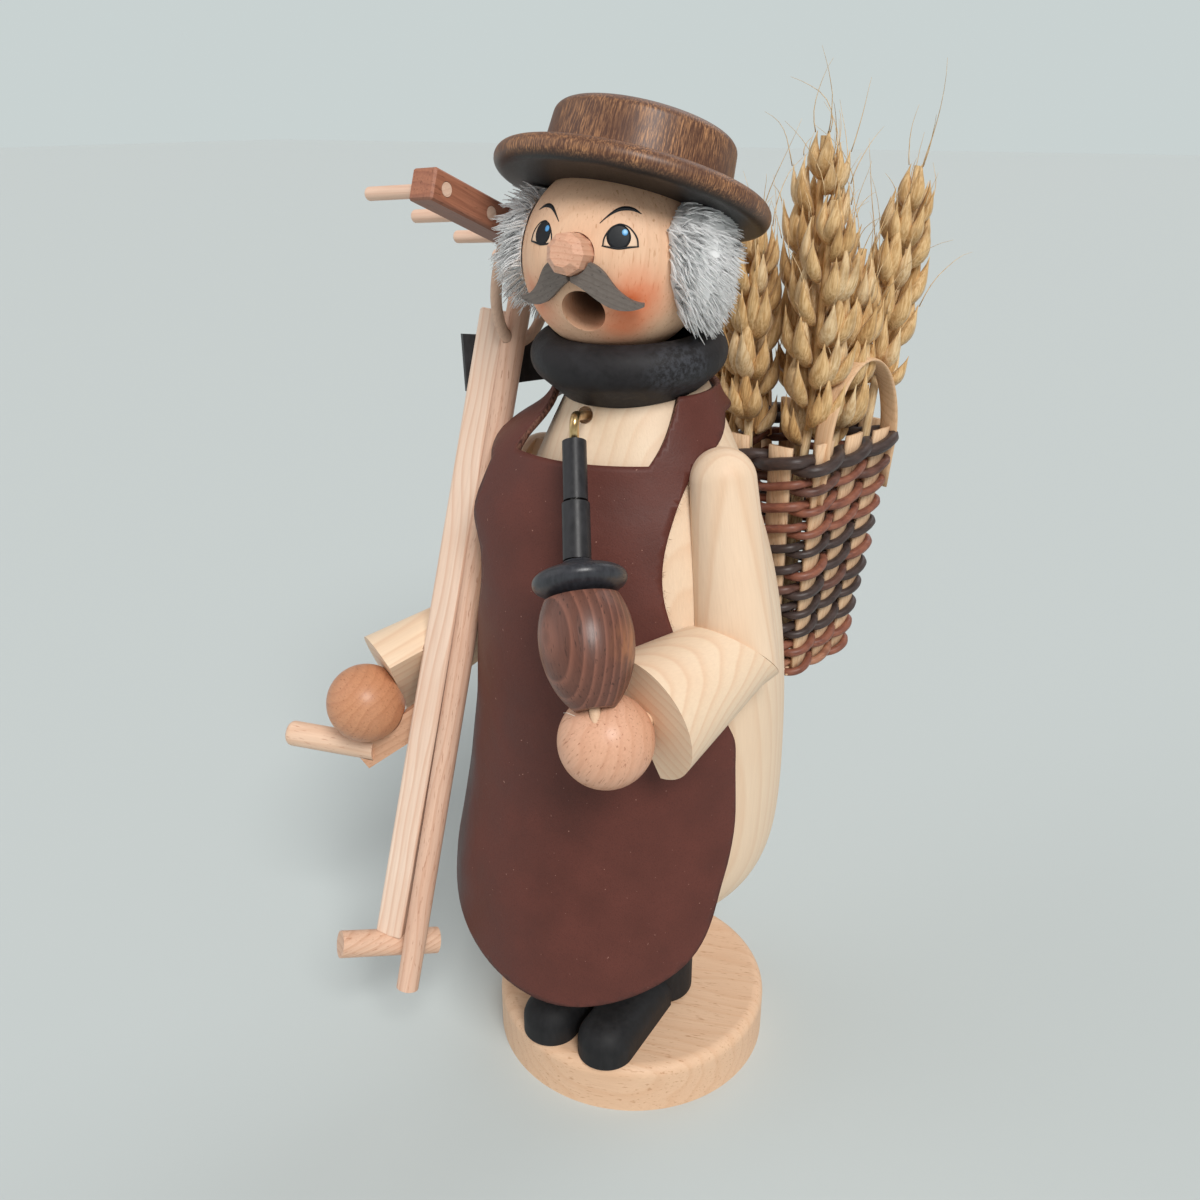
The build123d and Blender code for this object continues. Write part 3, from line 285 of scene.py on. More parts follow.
def paint(name, colour, rough=0.45, vary=0.25, grain=0.02, scale=0.9, **shader):
    """Stain or lacquer over fine wood: slight tone and gloss changes and a faint grain."""
    look = Look(name, rough, **shader)
    spots = look.grain(scale, 4.0, 0.6, stretch=0.25)
    paler = [min(1, c * (1 + vary) + 0.004) for c in colour]
    look.colour(look.mix(look.rise(spots, 0.3, 0.7), colour, paler))
    look.rough_between(spots, 0.3, 0.7, rough - 0.06, rough + 0.1)
    look.bump(spots, grain)
    return look


def two_tone(name, rough, first, second, scale=1.0, detail=3.0, **shader):
    """Plain look that wanders between two colours."""
    look = Look(name, rough, **shader)
    look.colour(look.mix(look.grain(scale, detail), first, second))
    return look


def dress(look, *names):
    """Gives CAD nodes a look."""
    for name in names:
        nodes[name].data.materials.clear()
        nodes[name].data.materials.append(look.material)


# The part's own frame, in millimetres
HEAD = Vector((-2.0, -5.6, 176.0))
HEAD_R = 17.0
TILT, TURN = math.radians(8.0), math.radians(4.0)
HEAD_FRONT = Vector(
    (math.sin(TURN) * math.cos(TILT), -math.cos(TURN) * math.cos(TILT), math.sin(TILT))
)
HEAD_SIDE = Vector((math.cos(TURN), math.sin(TURN), 0))
HEAD_UP = HEAD_SIDE.cross(-HEAD_FRONT)
LEAN, BACK = math.radians(4.0), math.radians(20.0)
HAT_UP = Vector((math.sin(LEAN), math.sin(BACK) * math.cos(LEAN), math.cos(BACK) * math.cos(LEAN)))
HAT_SEAT = 9.6
MOUTH = (3.0, -33.5)
PIPE_TOP = Vector((0.35, -24.8, 147.1))
STEM_END = PIPE_TOP + Vector((0.326, -0.506, -0.799)).normalized() * 21.6
LEFT_HAND = Vector((17.6, -43.6, 101.6))
PIPE_FOOT = LEFT_HAND + Vector((-0.02, -0.42, 0.91)).normalized() * 8.4
PIPE_WAY = (PIPE_FOOT - STEM_END).normalized()
RIM_Z, BODY_H, BELLY = 45.0, 108.5, 31.5
BASKET = Vector((11.0, 50.5, 0.0))
BASKET_TURN = math.radians(-14.0)
BASKET_LOW, BASKET_HIGH = 79.0, 132.7
BASKET_TOP, BASKET_BOTTOM = 37.0, 27.0


def face_way(left, up):
    left, up = math.radians(left), math.radians(up)
    level = HEAD_SIDE * math.sin(left) + HEAD_FRONT * math.cos(left)
    return level * math.cos(up) + HEAD_UP * math.sin(up)


def on_face(left, up, lift=0.0):
    return HEAD + face_way(left, up) * (HEAD_R + lift)


# Wood, stain and metal
MATT_COAT = {"Coat_Weight": 0.12, "Coat_Roughness": 0.35}
SATIN_COAT = {"Coat_Weight": 0.2, "Coat_Roughness": 0.25}
maple = wood(
    "maple_body", (0.86, 0.68, 0.50), (0.74, 0.49, 0.31), axis=(0.03, 0.02, 1), pith=(52, -34),
    ring=2.6, rings=0.42, streak=0.12, ring_wave=0.5, Coat_Weight=0.1, Coat_Roughness=0.35,
)
beech = wood(
    "beech_base", (0.80, 0.55, 0.37), (0.66, 0.38, 0.22), axis=(1, 0.3, 0), pith=(10, 60),
    ring=3.0, rings=0.35, fleck=(0.50, 0.26, 0.14), streak=0.14, seed=3,
)
left_hand_wood = wood(
    "beech_left_hand", (0.78, 0.45, 0.30), (0.62, 0.30, 0.18), axis=(0.4, -0.1, 0.6), pith=(4, 20),
    ring=2.4, rings=0.45, fleck=(0.38, 0.15, 0.08), streak=0.22, rough=0.42, seed=5,
    **SATIN_COAT,
)
right_hand_wood = wood(
    "beech_right_hand", (0.62, 0.30, 0.16), (0.48, 0.20, 0.10), axis=(0.8, -0.5, 0.3), pith=(6, 16),
    ring=2.2, rings=0.5, fleck=(0.34, 0.13, 0.06), streak=0.26, rough=0.42, seed=8,
    **SATIN_COAT,
)
black = paint(
    "black_lacquer", (0.014, 0.014, 0.016), rough=0.42, vary=0.7, grain=0.03,
    Coat_Weight=0.15, Coat_Roughness=0.3,
)
shoe_black = paint("shoe_lacquer", (0.008, 0.008, 0.009), rough=0.62, vary=0.8, grain=0.05)
brass = Look("brass_wire", 0.28, Metallic=1.0)
tarnish = brass.rise(brass.grain(1.4, 3.0, stretch=0.4), 0.4, 0.65)
brass.colour(brass.mix(tarnish, (0.72, 0.52, 0.26), (0.46, 0.30, 0.13)))
brass.bump(brass.grain(4.0, 2.0, stretch=0.1), 0.01)
steel = Look("steel", 0.35, Metallic=1.0)
steel.colour(
    steel.mix(steel.grain(3.0, 3.0, axis=(1, 0, 0), stretch=0.1), (0.55, 0.53, 0.50), (0.72, 0.71, 0.69))
)
steel.bump(steel.grain(4.0, 2.0, axis=(1, 0, 0), stretch=0.05), 0.01)

dress(maple, "body_shell", "smoke_plug", "neck_tube")
dress(beech, "base_disc", "leg_dowels", "basket_peg", "pipe_lid_pin", "pipe_foot_pin")
dress(beech, "left_wrist_pin", "right_wrist_pin", "left_shoulder_pin", "right_shoulder_pin")
dress(left_hand_wood, "left_hand")
dress(right_hand_wood, "right_hand")
dress(shoe_black, "left_leg", "right_leg", "left_shoe", "right_shoe")
dress(black, "pipe_upper_stem", "pipe_lower_stem")
dress(brass, "pipe_hook")
dress(steel, "pipe_core", "dish_tack", "blade_rivet", "incense_dish")

arm_plane_turns = {"left": 60.0, "right": -96.0}
for side, turn in arm_plane_turns.items():
    out = Vector((math.sin(math.radians(turn)), -math.cos(math.radians(turn)), 0.25))
    look = wood(
        side + "_upper_arm_maple", (0.87, 0.68, 0.50), (0.74, 0.48, 0.30),
        axis=Vector((0, 0, 1)) - out * 0.22,
        pith=(16, 26 if side == "left" else -20), ring=2.2, rings=0.5, streak=0.12, rough=0.48,
        seed=11 + turn, ring_wave=0.4, **MATT_COAT,
    )
    dress(look, side + "_upper_arm")
fore_ways = {"left": Vector((-0.62, -0.72, -0.22)), "right": Vector((-0.47, -0.85, -0.3))}
for side, way in fore_ways.items():
    look = wood(
        side + "_forearm_maple", (0.88, 0.69, 0.50), (0.75, 0.47, 0.29), axis=way, pith=(5, 30),
        ring=1.9, ring_wave=0.4, rings=0.5, streak=0.12, rough=0.48, seed=17 + len(side), **MATT_COAT,
    )
    dress(look, side + "_forearm")

# Head: pale wood with sprayed cheeks, painted shade under the chin, and soot with painted shade in the mouth
head_wood = wood(
    "face_wood", (0.86, 0.56, 0.37), (0.72, 0.40, 0.24), axis=HEAD_UP, pith=(0, 22), ring=3.0, rings=0.30,
    fleck=(0.55, 0.27, 0.14), streak=0.14, rough=0.5, seed=2, finish=False,
)
face = head_wood.base
tint = head_wood.ramp(head_wood.grain(0.35, 3.0, axis=HEAD_UP), (0.3, 0.7), (0.7, 1.0))
for left, up, radius, soft, strength, colour in (
    (38, -24, 3.4, 5.0, 1.0, (0.78, 0.16, 0.045)),
    (31, -42, 2.0, 5.0, 0.8, (0.78, 0.18, 0.06)),
    (-40, -29, 3.0, 4.8, 0.8, (0.78, 0.20, 0.08)),
    # The last spot is no spray: it is painted shade under the chin, darker towards the bottom of the face
    (0, -62, 5.0, 9.0, 0.22, (0.68, 0.30, 0.20)),
):
    spot = head_wood.near(on_face(left, up), radius, soft)
    spot = head_wood.times(head_wood.times(spot, tint), strength)
    face = head_wood.mix(spot, face, colour)
# Soot and painted shade darken the inside of the mouth bore
soot_and_shade = head_wood.near(on_face(*MOUTH, -10.0), 6.6, 2.2)
face = head_wood.mix(head_wood.times(soot_and_shade, 0.9), face, (0.10, 0.055, 0.035))
head_wood.colour(face)
dress(head_wood, "head")
nose_wood = wood(
    "nose_wood", (0.80, 0.47, 0.32), (0.62, 0.29, 0.18), axis=HEAD_FRONT, pith=(3, 1), ring=1.1, rings=0.5,
    fleck=(0.48, 0.20, 0.12), streak=0.2, rough=0.42, seed=4, **SATIN_COAT,
)
dress(nose_wood, "nose")
for side, slope in (("left", -0.55), ("right", 0.45)):
    look = wood(
        "moustache_veneer_" + side, (0.20, 0.17, 0.15), (0.13, 0.105, 0.09), axis=HEAD_SIDE + HEAD_UP * slope,
        pith=(3, 9), ring=1.0, rings=0.5, streak=0.35, rough=0.6, seed=6 + slope, bump=0.04,
        fleck=(0.06, 0.05, 0.045),
    )
    dress(look, "moustache_" + side)

# Hat: brown stain over fine upright grain, with golden streaks, a painted grey sheen on the crown's top, near
# black below the brim
hat = Look("hat_stain", 0.42, Coat_Weight=0.22, Coat_Roughness=0.3)
fine = hat.grain(4.0, 4.0, 0.7, axis=HAT_UP, stretch=0.07)
patch = hat.grain(0.16, 3.0, axis=HAT_UP, stretch=0.8)
streaks = hat.rise(fine, 0.46, 0.66)
gold = hat.times(streaks, hat.ramp(patch, (0.36, 0.25), (0.62, 1.0)))
stain = hat.mix(gold, (0.11, 0.047, 0.027), (0.58, 0.29, 0.13))
stain = hat.mix(hat.ramp(fine, (0.28, 0.8), (0.44, 0.0)), stain, (0.07, 0.03, 0.02))
# Painted sheen: the crown's top is mixed toward a cool grey
crown_top_sheen = hat.beyond(HEAD, HAT_UP, HAT_SEAT + 12.4, HAT_SEAT + 13.6)
stain = hat.mix(hat.times(crown_top_sheen, 0.45), stain, (0.20, 0.18, 0.19))
below = hat.beyond(HEAD, HAT_UP, HAT_SEAT + 1.6, HAT_SEAT + 0.3)
stain = hat.mix(below, stain, (0.010, 0.007, 0.006))
hat.colour(stain)
hat.rough_between(fine, 0.3, 0.7, 0.36, 0.55)
hat.bump(fine, 0.05)
dress(hat, "hat")

# Scarf: charcoal stain with a rubbed patch on its left that carries a painted bluish sheen
scarf = Look("scarf_charcoal", 0.62)
rub = scarf.grain(0.9, 5.0, 0.7)
cloud = scarf.grain(0.16, 3.0)
tone = scarf.mix(scarf.rise(rub, 0.35, 0.7), (0.010, 0.009, 0.010), (0.022, 0.020, 0.022))
# Rubbed patch on the lit front left, coloured bluish grey: wear with a painted sheen
scuff_and_sheen = scarf.times(
    scarf.near((15.6, -12.5, 158.0), 6.0, 3.0), scarf.rise(rub, 0.42, 0.60)
)
tone = scarf.mix(scarf.times(scuff_and_sheen, 0.3), tone, (0.115, 0.125, 0.15))
tone = scarf.mix(scarf.ramp(cloud, (0.5, 0.0), (0.7, 0.35)), tone, (0.045, 0.046, 0.052))
scarf.colour(tone)
scarf.rough_between(rub, 0.3, 0.7, 0.5, 0.72)
scarf.bump(rub, 0.06)
dress(scarf, "scarf")

# Pipe lid and bowl
lid = paint(
    "pipe_lid_black", (0.022, 0.023, 0.028), rough=0.36, vary=0.8, scale=1.6,
    Coat_Weight=0.3, Coat_Roughness=0.25,
)
dress(lid, "pipe_lid")
# The pith far off to the side makes the rings show as stripes along the bowl
pipe_turn = PIPE_WAY.rotation_difference(Vector((0, 0, 1)))
bowl_pith = pipe_turn @ Vector((0.866, 0.5, 0)) * 150
bowl = wood(
    "bowl_stain", (0.085, 0.034, 0.024), (0.26, 0.105, 0.07), axis=PIPE_WAY, pith=bowl_pith.xy,
    ring=1.5, rings=0.9, streak=0.5, rough=0.4, seed=9, ring_wave=0.3, finish=False,
    Coat_Weight=0.25, Coat_Roughness=0.25,
    fleck=(0.035, 0.014, 0.01),
)
flame = bowl.times(
    bowl.near(PIPE_FOOT - PIPE_WAY * 11.0 + Vector((7.6, 0.5, 1.5)), 2.6, 3.4),
    bowl.ramp(bowl.grain(0.8, 3.0, axis=PIPE_WAY, stretch=0.3), (0.38, 0.2), (0.6, 1.0)),
)
bowl.colour(bowl.mix(bowl.times(flame, 0.8), bowl.base, (0.42, 0.17, 0.075)))
dress(bowl, "pipe_bowl")

# Tools and their woods: look, node, early wood, late wood and the wood's other values
SNATH_FOOT, SNATH_TOP = Vector((-40.4, -37.7, 32.9)), Vector((-32.9, 0.5, 163.6))
RAKE_FOOT, RAKE_TOP = Vector((-33.8, -41.2, 23.3)), Vector((-27.0, 4.2, 177.0))
RAKE_ALONG = Vector((-0.120, -0.916, 0.383))
RAKE_UP = Vector((-0.031, 0.389, 0.921))
TOOL_WOODS = [
    ("snath_wood", "scythe_snath", (0.86, 0.68, 0.55), (0.64, 0.36, 0.23), dict(
        axis=SNATH_TOP - SNATH_FOOT, pith=(2.0, -19), ring=1.7, rings=0.5, seed=21)),
    ("rake_handle_wood", "rake_handle", (0.80, 0.54, 0.40), (0.60, 0.32, 0.21), dict(
        axis=RAKE_TOP - RAKE_FOOT, pith=(6, 3), ring=1.5, rings=0.55, fleck=(0.45, 0.21, 0.13), streak=0.2,
        rough=0.48, seed=23)),
    ("tooth_wood", "rake_teeth", (0.84, 0.60, 0.46), (0.66, 0.38, 0.26), dict(
        axis=RAKE_ALONG.cross(RAKE_UP), pith=(4, 0), ring=1.2, rings=0.4, streak=0.2, seed=27)),
    ("cane", "rake_brace", (0.72, 0.50, 0.37), (0.55, 0.34, 0.24), dict(
        axis=(0.1, 0.5, 0.85), pith=(8, 0), ring=1.0, rings=0.3, streak=0.3, seed=29)),
    ("grip_arm_wood", "scythe_grip_arm", (0.70, 0.42, 0.27), (0.50, 0.25, 0.14), dict(
        axis=(-16.8, -2, -9.7), pith=(3, 14), ring=1.6, rings=0.5, fleck=(0.42, 0.19, 0.1), streak=0.2,
        seed=31)),
    ("mid_grip_wood", "scythe_mid_grip", (0.84, 0.60, 0.44), (0.66, 0.40, 0.26), dict(
        axis=(-19.8, -6.2, 1.3), pith=(4, 6), ring=1.6, rings=0.45, fleck=(0.5, 0.24, 0.15), streak=0.18,
        rough=0.48, seed=33)),
    ("end_grip_wood", "scythe_end_grip", (0.80, 0.55, 0.40), (0.60, 0.33, 0.21), dict(
        axis=(0.57, 0.8, 0.2), pith=(2, 3), ring=1.3, rings=0.6, fleck=(0.45, 0.2, 0.12), streak=0.2,
        seed=35)),
]
for name, node, early, late, grain in TOOL_WOODS:
    dress(wood(name, early, late, **grain), node)
head_bar = wood(
    "rake_bar_wood", (0.46, 0.19, 0.11), (0.28, 0.10, 0.06), axis=RAKE_ALONG, pith=(5, -6), ring=1.6,
    rings=0.6, fleck=(0.13, 0.045, 0.025), streak=0.4, rough=0.46, seed=25, finish=False,
)
shade = head_bar.beyond(RAKE_TOP, RAKE_UP, -1.9, -3.0)
head_bar.colour(head_bar.mix(head_bar.times(shade, 0.6), head_bar.base, (0.16, 0.10, 0.08)))
dress(head_bar, "rake_head")
dress(paint("blade_black", (0.016, 0.016, 0.018), rough=0.5, vary=0.8, grain=0.03, scale=1.2), "scythe_blade")
splint_look = wood(
    "splint", (0.80, 0.55, 0.34), (0.60, 0.34, 0.18), axis=(0.05, 0.2, 1), pith=(30, 3), ring=1.0, rings=0.5,
    streak=0.3, rough=0.55, seed=37,
)


# Painted face, its films sunk a little into the wood at their rims
SUNK = 0.08


def paint_film(mesh, outline, slot, lift, rings=5):
    """Thin film over the ball inside a closed outline of (left, up) degrees."""
    centre_left = sum(p[0] for p in outline) / len(outline)
    centre_up = sum(p[1] for p in outline) / len(outline)
    points, faces = [on_face(centre_left, centre_up, lift)], []
    count = len(outline)
    for ring in range(1, rings + 1):
        t = ring / rings
        for left, up in outline:
            points.append(on_face(lerp(centre_left, left, t), lerp(centre_up, up, t), lift))
    for left, up in outline:
        points.append(on_face(left, up, -SUNK))
    for k in range(count):
        faces.append((0, 1 + k, 1 + (k + 1) % count))
    for ring in range(rings):
        a, b = 1 + ring * count, 1 + (ring + 1) * count
        for k in range(count):
            m = (k + 1) % count
            faces.append((a + k, b + k, b + m, a + m))
    last = 1 + rings * count
    faces.append(tuple(last + k for k in reversed(range(count))))
    mesh.add(points, faces, slot)


def paint_stroke(mesh, spine, widths, slot, lift):
    """Brush stroke along (left, up) points, with a width in degrees at each."""
    path = smooth_points([(a, b, w) for (a, b), w in zip(spine, widths)], 6)
    rings = []
    for i, p in enumerate(path):
        ahead, behind = path[min(i + 1, len(path) - 1)], path[max(i - 1, 0)]
        way = Vector((ahead[0] - behind[0], ahead[1] - behind[1])).normalized()
        side = Vector((-way[1], way[0]))
        half = max(p[2], 0.05) / 2
        section = ((-1, -SUNK), (-1, lift), (0, lift + 0.01), (1, lift), (1, -SUNK))
        rings.append([
            on_face(p[0] + side[0] * half * offset, p[1] + side[1] * half * offset, height)
            for offset, height in section
        ])
    mesh.loft(rings, slot)


ink = two_tone("face_ink", 0.5, (0.003, 0.004, 0.006), (0.009, 0.012, 0.016), 1.5, 2.0)
ink.bump(ink.grain(3.0, 2.0), 0.01)
peach = two_tone("face_peach", 0.5, (0.86, 0.63, 0.46), (0.80, 0.55, 0.38), 1.5, 2.0)
blue = Look("face_blue", 0.3)
blue.colour(blue.mix(blue.near(on_face(28.6, 14.2), 0.3, 0.5), (0.10, 0.36, 0.72), (0.30, 0.62, 0.90)))


def round_spot(left, up, wide, tall, sides):
    """Oval outline on the face, all in degrees."""
    angles = np.linspace(0, 2 * math.pi, sides + 1)[:-1]
    return [(left + wide * math.cos(a), up + tall * math.sin(a)) for a in angles]


# Lines of the left eye in degrees, mirrored for the right one
LID = [
    (16.6, 5.6), (16.9, 9.2), (18.4, 12.6), (20.9, 15.6), (25.2, 17.9), (30.2, 16.8), (33.8, 13.6),
    (35.8, 10.2), (36.4, 6.4),
]
LID_WIDTHS = [0.7, 0.8, 0.85, 0.8, 0.7, 0.8, 0.9, 0.95, 0.9]
EYE_FLOOR = [(36.9, 6.3), (31.5, 5.6), (25.5, 4.6), (20.0, 5.0), (15.9, 5.5)]
EYE_FLOOR_WIDTHS = [0.5, 1.0, 1.1, 0.9, 0.5]
BROW = [(13.6, 17.7), (17.0, 21.2), (20.2, 23.9), (24.0, 26.2), (28.4, 27.3), (33.5, 26.9), (38.4, 24.6)]
BROW_WIDTHS = [0.4, 0.9, 1.5, 2.2, 2.6, 2.0, 0.4]
PUPIL_LEFT = 25.2
eyes = Mesh()
for flip in (1, -1):
    outline = [tuple(p) for p in smooth_points(LID, 4)]
    outline += [tuple(p) for p in smooth_points(EYE_FLOOR, 3)[1:-1]]
    pupil = round_spot(PUPIL_LEFT, 10.9, 7.0, 6.9, 32)
    paint_film(eyes, [(flip * a, b) for a, b in outline][::flip], 1, 0.03)
    paint_film(eyes, [(flip * a, b) for a, b in pupil][::flip], 0, 0.06)
    paint_film(eyes, round_spot(PUPIL_LEFT * flip + 3.4, 13.5, 1.75, 1.75, 20), 2, 0.09, 2)
    strokes = ((LID, LID_WIDTHS, 0.07), (EYE_FLOOR, EYE_FLOOR_WIDTHS, 0.07), (BROW, BROW_WIDTHS, 0.05))
    for spine, widths, lift in strokes:
        paint_stroke(eyes, [(flip * a, b) for a, b in spine], widths, 0, lift)
eyes = eyes.make("face_paint", ink, peach, blue)
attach(eyes, "torso")

# Hair: a plush pad and its strands
rng = np.random.default_rng(7)
SCARF_MID = Vector((-1.0, -2.5, 158.3))
SCARF_TILT = math.radians(4.0)
SCARF_UP = Vector((0, -math.sin(SCARF_TILT), math.cos(SCARF_TILT)))
FUR_FRONT = [(-30.0, 72.0), (-23.0, 65.0), (-12.0, 57.0), (16.0, 53.0), (28.0, 62.0), (42.0, 82.0)]
PAD_COLUMNS, PAD_ROWS = 84, 22
PAD_SKIN, PAD_DEPTH = 0.25, 3.2
CLUMPS = 420
STRANDS = 4200
STRAND_STEPS = 4
STRAND_RADII = [0.20, 0.20, 0.18, 0.15, 0.06]
SHORTEST, LONGEST = 4.6, 6.2
FUR_LEFT, FUR_RIGHT = 55.0, 305.0
SCARF_GAP, BRIM_GAP = 5.8, 0.3


def fur_limits(left):
    """Lowest and highest elevation of the fur at a turn about the head."""
    low, high = -36.0, 60.0
    while low < 20 and (on_face(left, low) - SCARF_MID).dot(SCARF_UP) < SCARF_GAP:
        low += 1.0
    while high > -20 and (on_face(left, high) - HEAD).dot(HAT_UP) > HAT_SEAT - BRIM_GAP:
        high -= 1.0
    low = max(low, -30.0, -9.0 - (FUR_RIGHT - left) * 0.5)
    return low, high


def fur_spot(s, t):
    """Turn and elevation of a spot on the fur, its shares running round the head and upward."""
    low, high = fur_limits(lerp(FUR_LEFT, FUR_RIGHT, s))
    up = lerp(low, high, t)
    front = table_at(FUR_FRONT, up)[0]
    return lerp(front, 360.0 - front, s), up


fur_white = Look(
    "white_fur", 0.8, Subsurface_Weight=0.8, Subsurface_Radius=(1.0, 1.0, 1.0), Subsurface_Scale=0.002
)
wisp = fur_white.grain(0.5, 3.0, stretch=0.4)
wisp = fur_white.rise(wisp, 0.3, 0.7)
fur_white.colour(fur_white.mix(wisp, (0.965, 0.965, 0.97), (0.985, 0.985, 0.985)))
fur_white.bump(fur_white.grain(3.0, 3.0, stretch=0.2), 0.05)
pad = Mesh()
turns = np.linspace(0.004, 0.996, PAD_COLUMNS)
pad_shells = []
for shell in (PAD_SKIN, PAD_DEPTH):
    points = []
    for s in turns:
        edge = min(s, 1 - s) * (FUR_RIGHT - FUR_LEFT)
        for k in range(PAD_ROWS):
            t = k / (PAD_ROWS - 1)
            left, up = fur_spot(s, t)
            round_off = min(1.0, edge / 22.0) * min(1.0, 0.25 + 4 * t) * min(1.0, 0.35 + 5 * (1 - t))
            lump = 0.35 * math.sin(left * 0.37 + 5 * t) * math.sin(9 * t + left * 0.11)
            points.append(on_face(left, up, PAD_SKIN + (shell - PAD_SKIN) * (1 + lump) * round_off))
    pad_shells += points
count = PAD_COLUMNS * PAD_ROWS
faces = []
for i in range(PAD_COLUMNS - 1):
    here, ahead = i * PAD_ROWS, (i + 1) * PAD_ROWS
    for k in range(PAD_ROWS - 1):
        face = (here + k, here + k + 1, ahead + k + 1, ahead + k)
        faces.append(tuple(count + corner for corner in (face[0], face[3], face[2], face[1])))
        faces.append(face)
    for k, order in ((0, 1), (PAD_ROWS - 1, -1)):
        faces.append((here + k, ahead + k, ahead + k + count, here + k + count)[::order])
for i, order in ((0, -1), (PAD_COLUMNS - 1, 1)):
    for k in range(PAD_ROWS - 1):
        a = i * PAD_ROWS + k
        faces.append((a, a + 1, a + 1 + count, a + count)[::order])
pad.add(pad_shells, faces)
pad = pad.make("fur_pad", fur_white)
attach(pad, "torso")

strands = Mesh()
clumps = []
for _ in range(CLUMPS):
    left, up = fur_spot(rng.random(), rng.random())
    clumps.append((face_way(left, up), rng.normal(size=3) * 0.55, rng.uniform(0.75, 1.25)))
clump_ways = np.array([list(c[0]) for c in clumps])
down = Vector((0, 0, -1))
back = Vector((0.0, 0.35, 0.0))
for _ in range(STRANDS):
    share = rng.random()
    left, up = fur_spot(share, rng.random())
    out = face_way(left, up)
    root = HEAD + out * (HEAD_R + 0.4)
    nearest = int(np.argmax(clump_ways @ np.array(list(out))))
    clump_out, sway, size = clumps[nearest]
    length = rng.uniform(SHORTEST, LONGEST) * lerp(1.0, size, 0.4)
    length *= min(1.0, 0.7 + min(share, 1 - share) * 10)
    way = out * 0.95 + down * 0.30 + back * 0.4 + Vector(rng.normal(size=3) * 0.13) + Vector(sway) * 0.3
    way.normalize()
    tip_pull = (HEAD + clump_out * (HEAD_R + 5.0) - root) * 0.06
    here = root.copy()
    path = [here.copy()]
    for _ in range(STRAND_STEPS):
        here = here + way * (length / STRAND_STEPS)
        way = (way + down * 0.20 + tip_pull * 0.35 + Vector(rng.normal(size=3) * 0.07)).normalized()
        gone = here - HEAD
        if gone.length < HEAD_R + 0.6:
            here = HEAD + gone.normalized() * (HEAD_R + 0.6)
        over = (here - HEAD).dot(HAT_UP) - (HAT_SEAT - 0.35)
        if over > 0:
            here = here - HAT_UP * over
        path.append(here.copy())
    strands.tube(path, STRAND_RADII, 3)
strands = strands.make("fur_strands", fur_white)
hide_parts("hair")
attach(strands, "torso")

# Apron: one leather sheet, its outer face as height share, centre and radius in belly radii
LEATHER = 1.2
SECTIONS = [
    (-0.120, -0.032, -0.032, 1.250),
    (0.065, -0.048, -0.032, 1.187),
    (0.249, -0.032, 0.000, 1.098),
    (0.396, 0.000, 0.000, 1.054),
    (0.544, -0.020, 0.010, 1.024),
    (0.673, -0.090, 0.120, 1.050),
    (0.783, -0.180, 0.340, 1.165),
    (0.866, -0.165, 0.240, 0.945),
    (0.915, -0.110, 0.120, 0.760),
    (0.957, -0.030, 0.010, 0.560),
    (1.005, -0.020, 0.000, 0.480),
]


def section(share):
    """Smoothed centre and radius of the apron's outer face at a height share."""
    spans = [table_at(SECTIONS, share + step * 0.008) for step in range(-3, 4)]
    return [sum(values) / len(values) * BELLY for values in zip(*spans)]


def apron_angle(x, share):
    cx, _, radius = section(share)
    return math.degrees(math.asin(max(-0.995, min(0.995, (x * BELLY - cx) / radius))))


def edge_angles(points, samples):
    curve = smooth_points([(a, b, 0) for a, b in points], samples)
    return [(apron_angle(x, share), share) for x, share, _ in curve]


def between(start, end, first, last, count):
    """Count places on the way between two (angle, share) places, from a first share of it to a last."""
    return [
        (lerp(start[0], end[0], t), lerp(start[1], end[1], t)) for t in np.linspace(first, last, count)
    ]


# Outline of the sheet as (x, height share), the straps' ends as (angle, height share)
NECK_RIGHT, NECK_LEFT, NECK = -0.527, 0.343, 0.894
STRAP_INNER = 0.400
STRAP_TOP, STRAP_LOW = 0.997, 0.957
SIDE, NAPE = 94.0, 179.6
LEFT_EDGE = [(0.545, 0.889), (0.517, 0.818), (0.521, 0.719), (0.635, 0.618), (0.900, 0.452)]
HEM = [
    (0.920, 0.435), (0.945, 0.378), (0.955, 0.157), (0.800, -0.014), (0.063, -0.096), (-0.873, -0.032),
    (-1.162, 0.138), (-1.117, 0.378),
]
RIGHT_EDGE = [(-0.990, 0.480), (-0.760, 0.610), (-0.720, 0.700), (-0.815, 0.770), (-0.760, 0.860)]
shoulder = edge_angles(RIGHT_EDGE[::-1], 10)
armhole = edge_angles(LEFT_EDGE[::-1], 10)
first = (apron_angle(-STRAP_INNER, STRAP_TOP), STRAP_TOP)
last = (apron_angle(STRAP_INNER, STRAP_TOP), STRAP_TOP)
ring = [first]
ring += between(first, (-NAPE, STRAP_TOP), 0.04, 1, 26)
ring += between((-NAPE, STRAP_LOW), (-SIDE, STRAP_LOW), 0, 1, 18)
ring += between((-SIDE, STRAP_LOW), shoulder[0], 0.1, 0.9, 9)
ring += shoulder + edge_angles(HEM[::-1], 12) + armhole
ring += between(armhole[-1], (SIDE, STRAP_LOW), 0.1, 0.9, 9)
ring += between((SIDE, STRAP_LOW), (NAPE, STRAP_LOW), 0, 1, 18)
ring += between((NAPE, STRAP_TOP), last, 0, 0.96, 26)
ring.append(last)
ring += between(last, (apron_angle(NECK_LEFT, NECK), NECK), 0.08, 1, 12)
ring += [(apron_angle(lerp(NECK_LEFT, NECK_RIGHT, t), NECK), NECK) for t in np.linspace(0.04, 1, 24)]
ring += between((apron_angle(NECK_RIGHT, NECK), NECK), first, 0.08, 0.95, 12)


def to_flat(angle, share):
    return Vector((math.radians(angle) * BELLY, share * BODY_H))


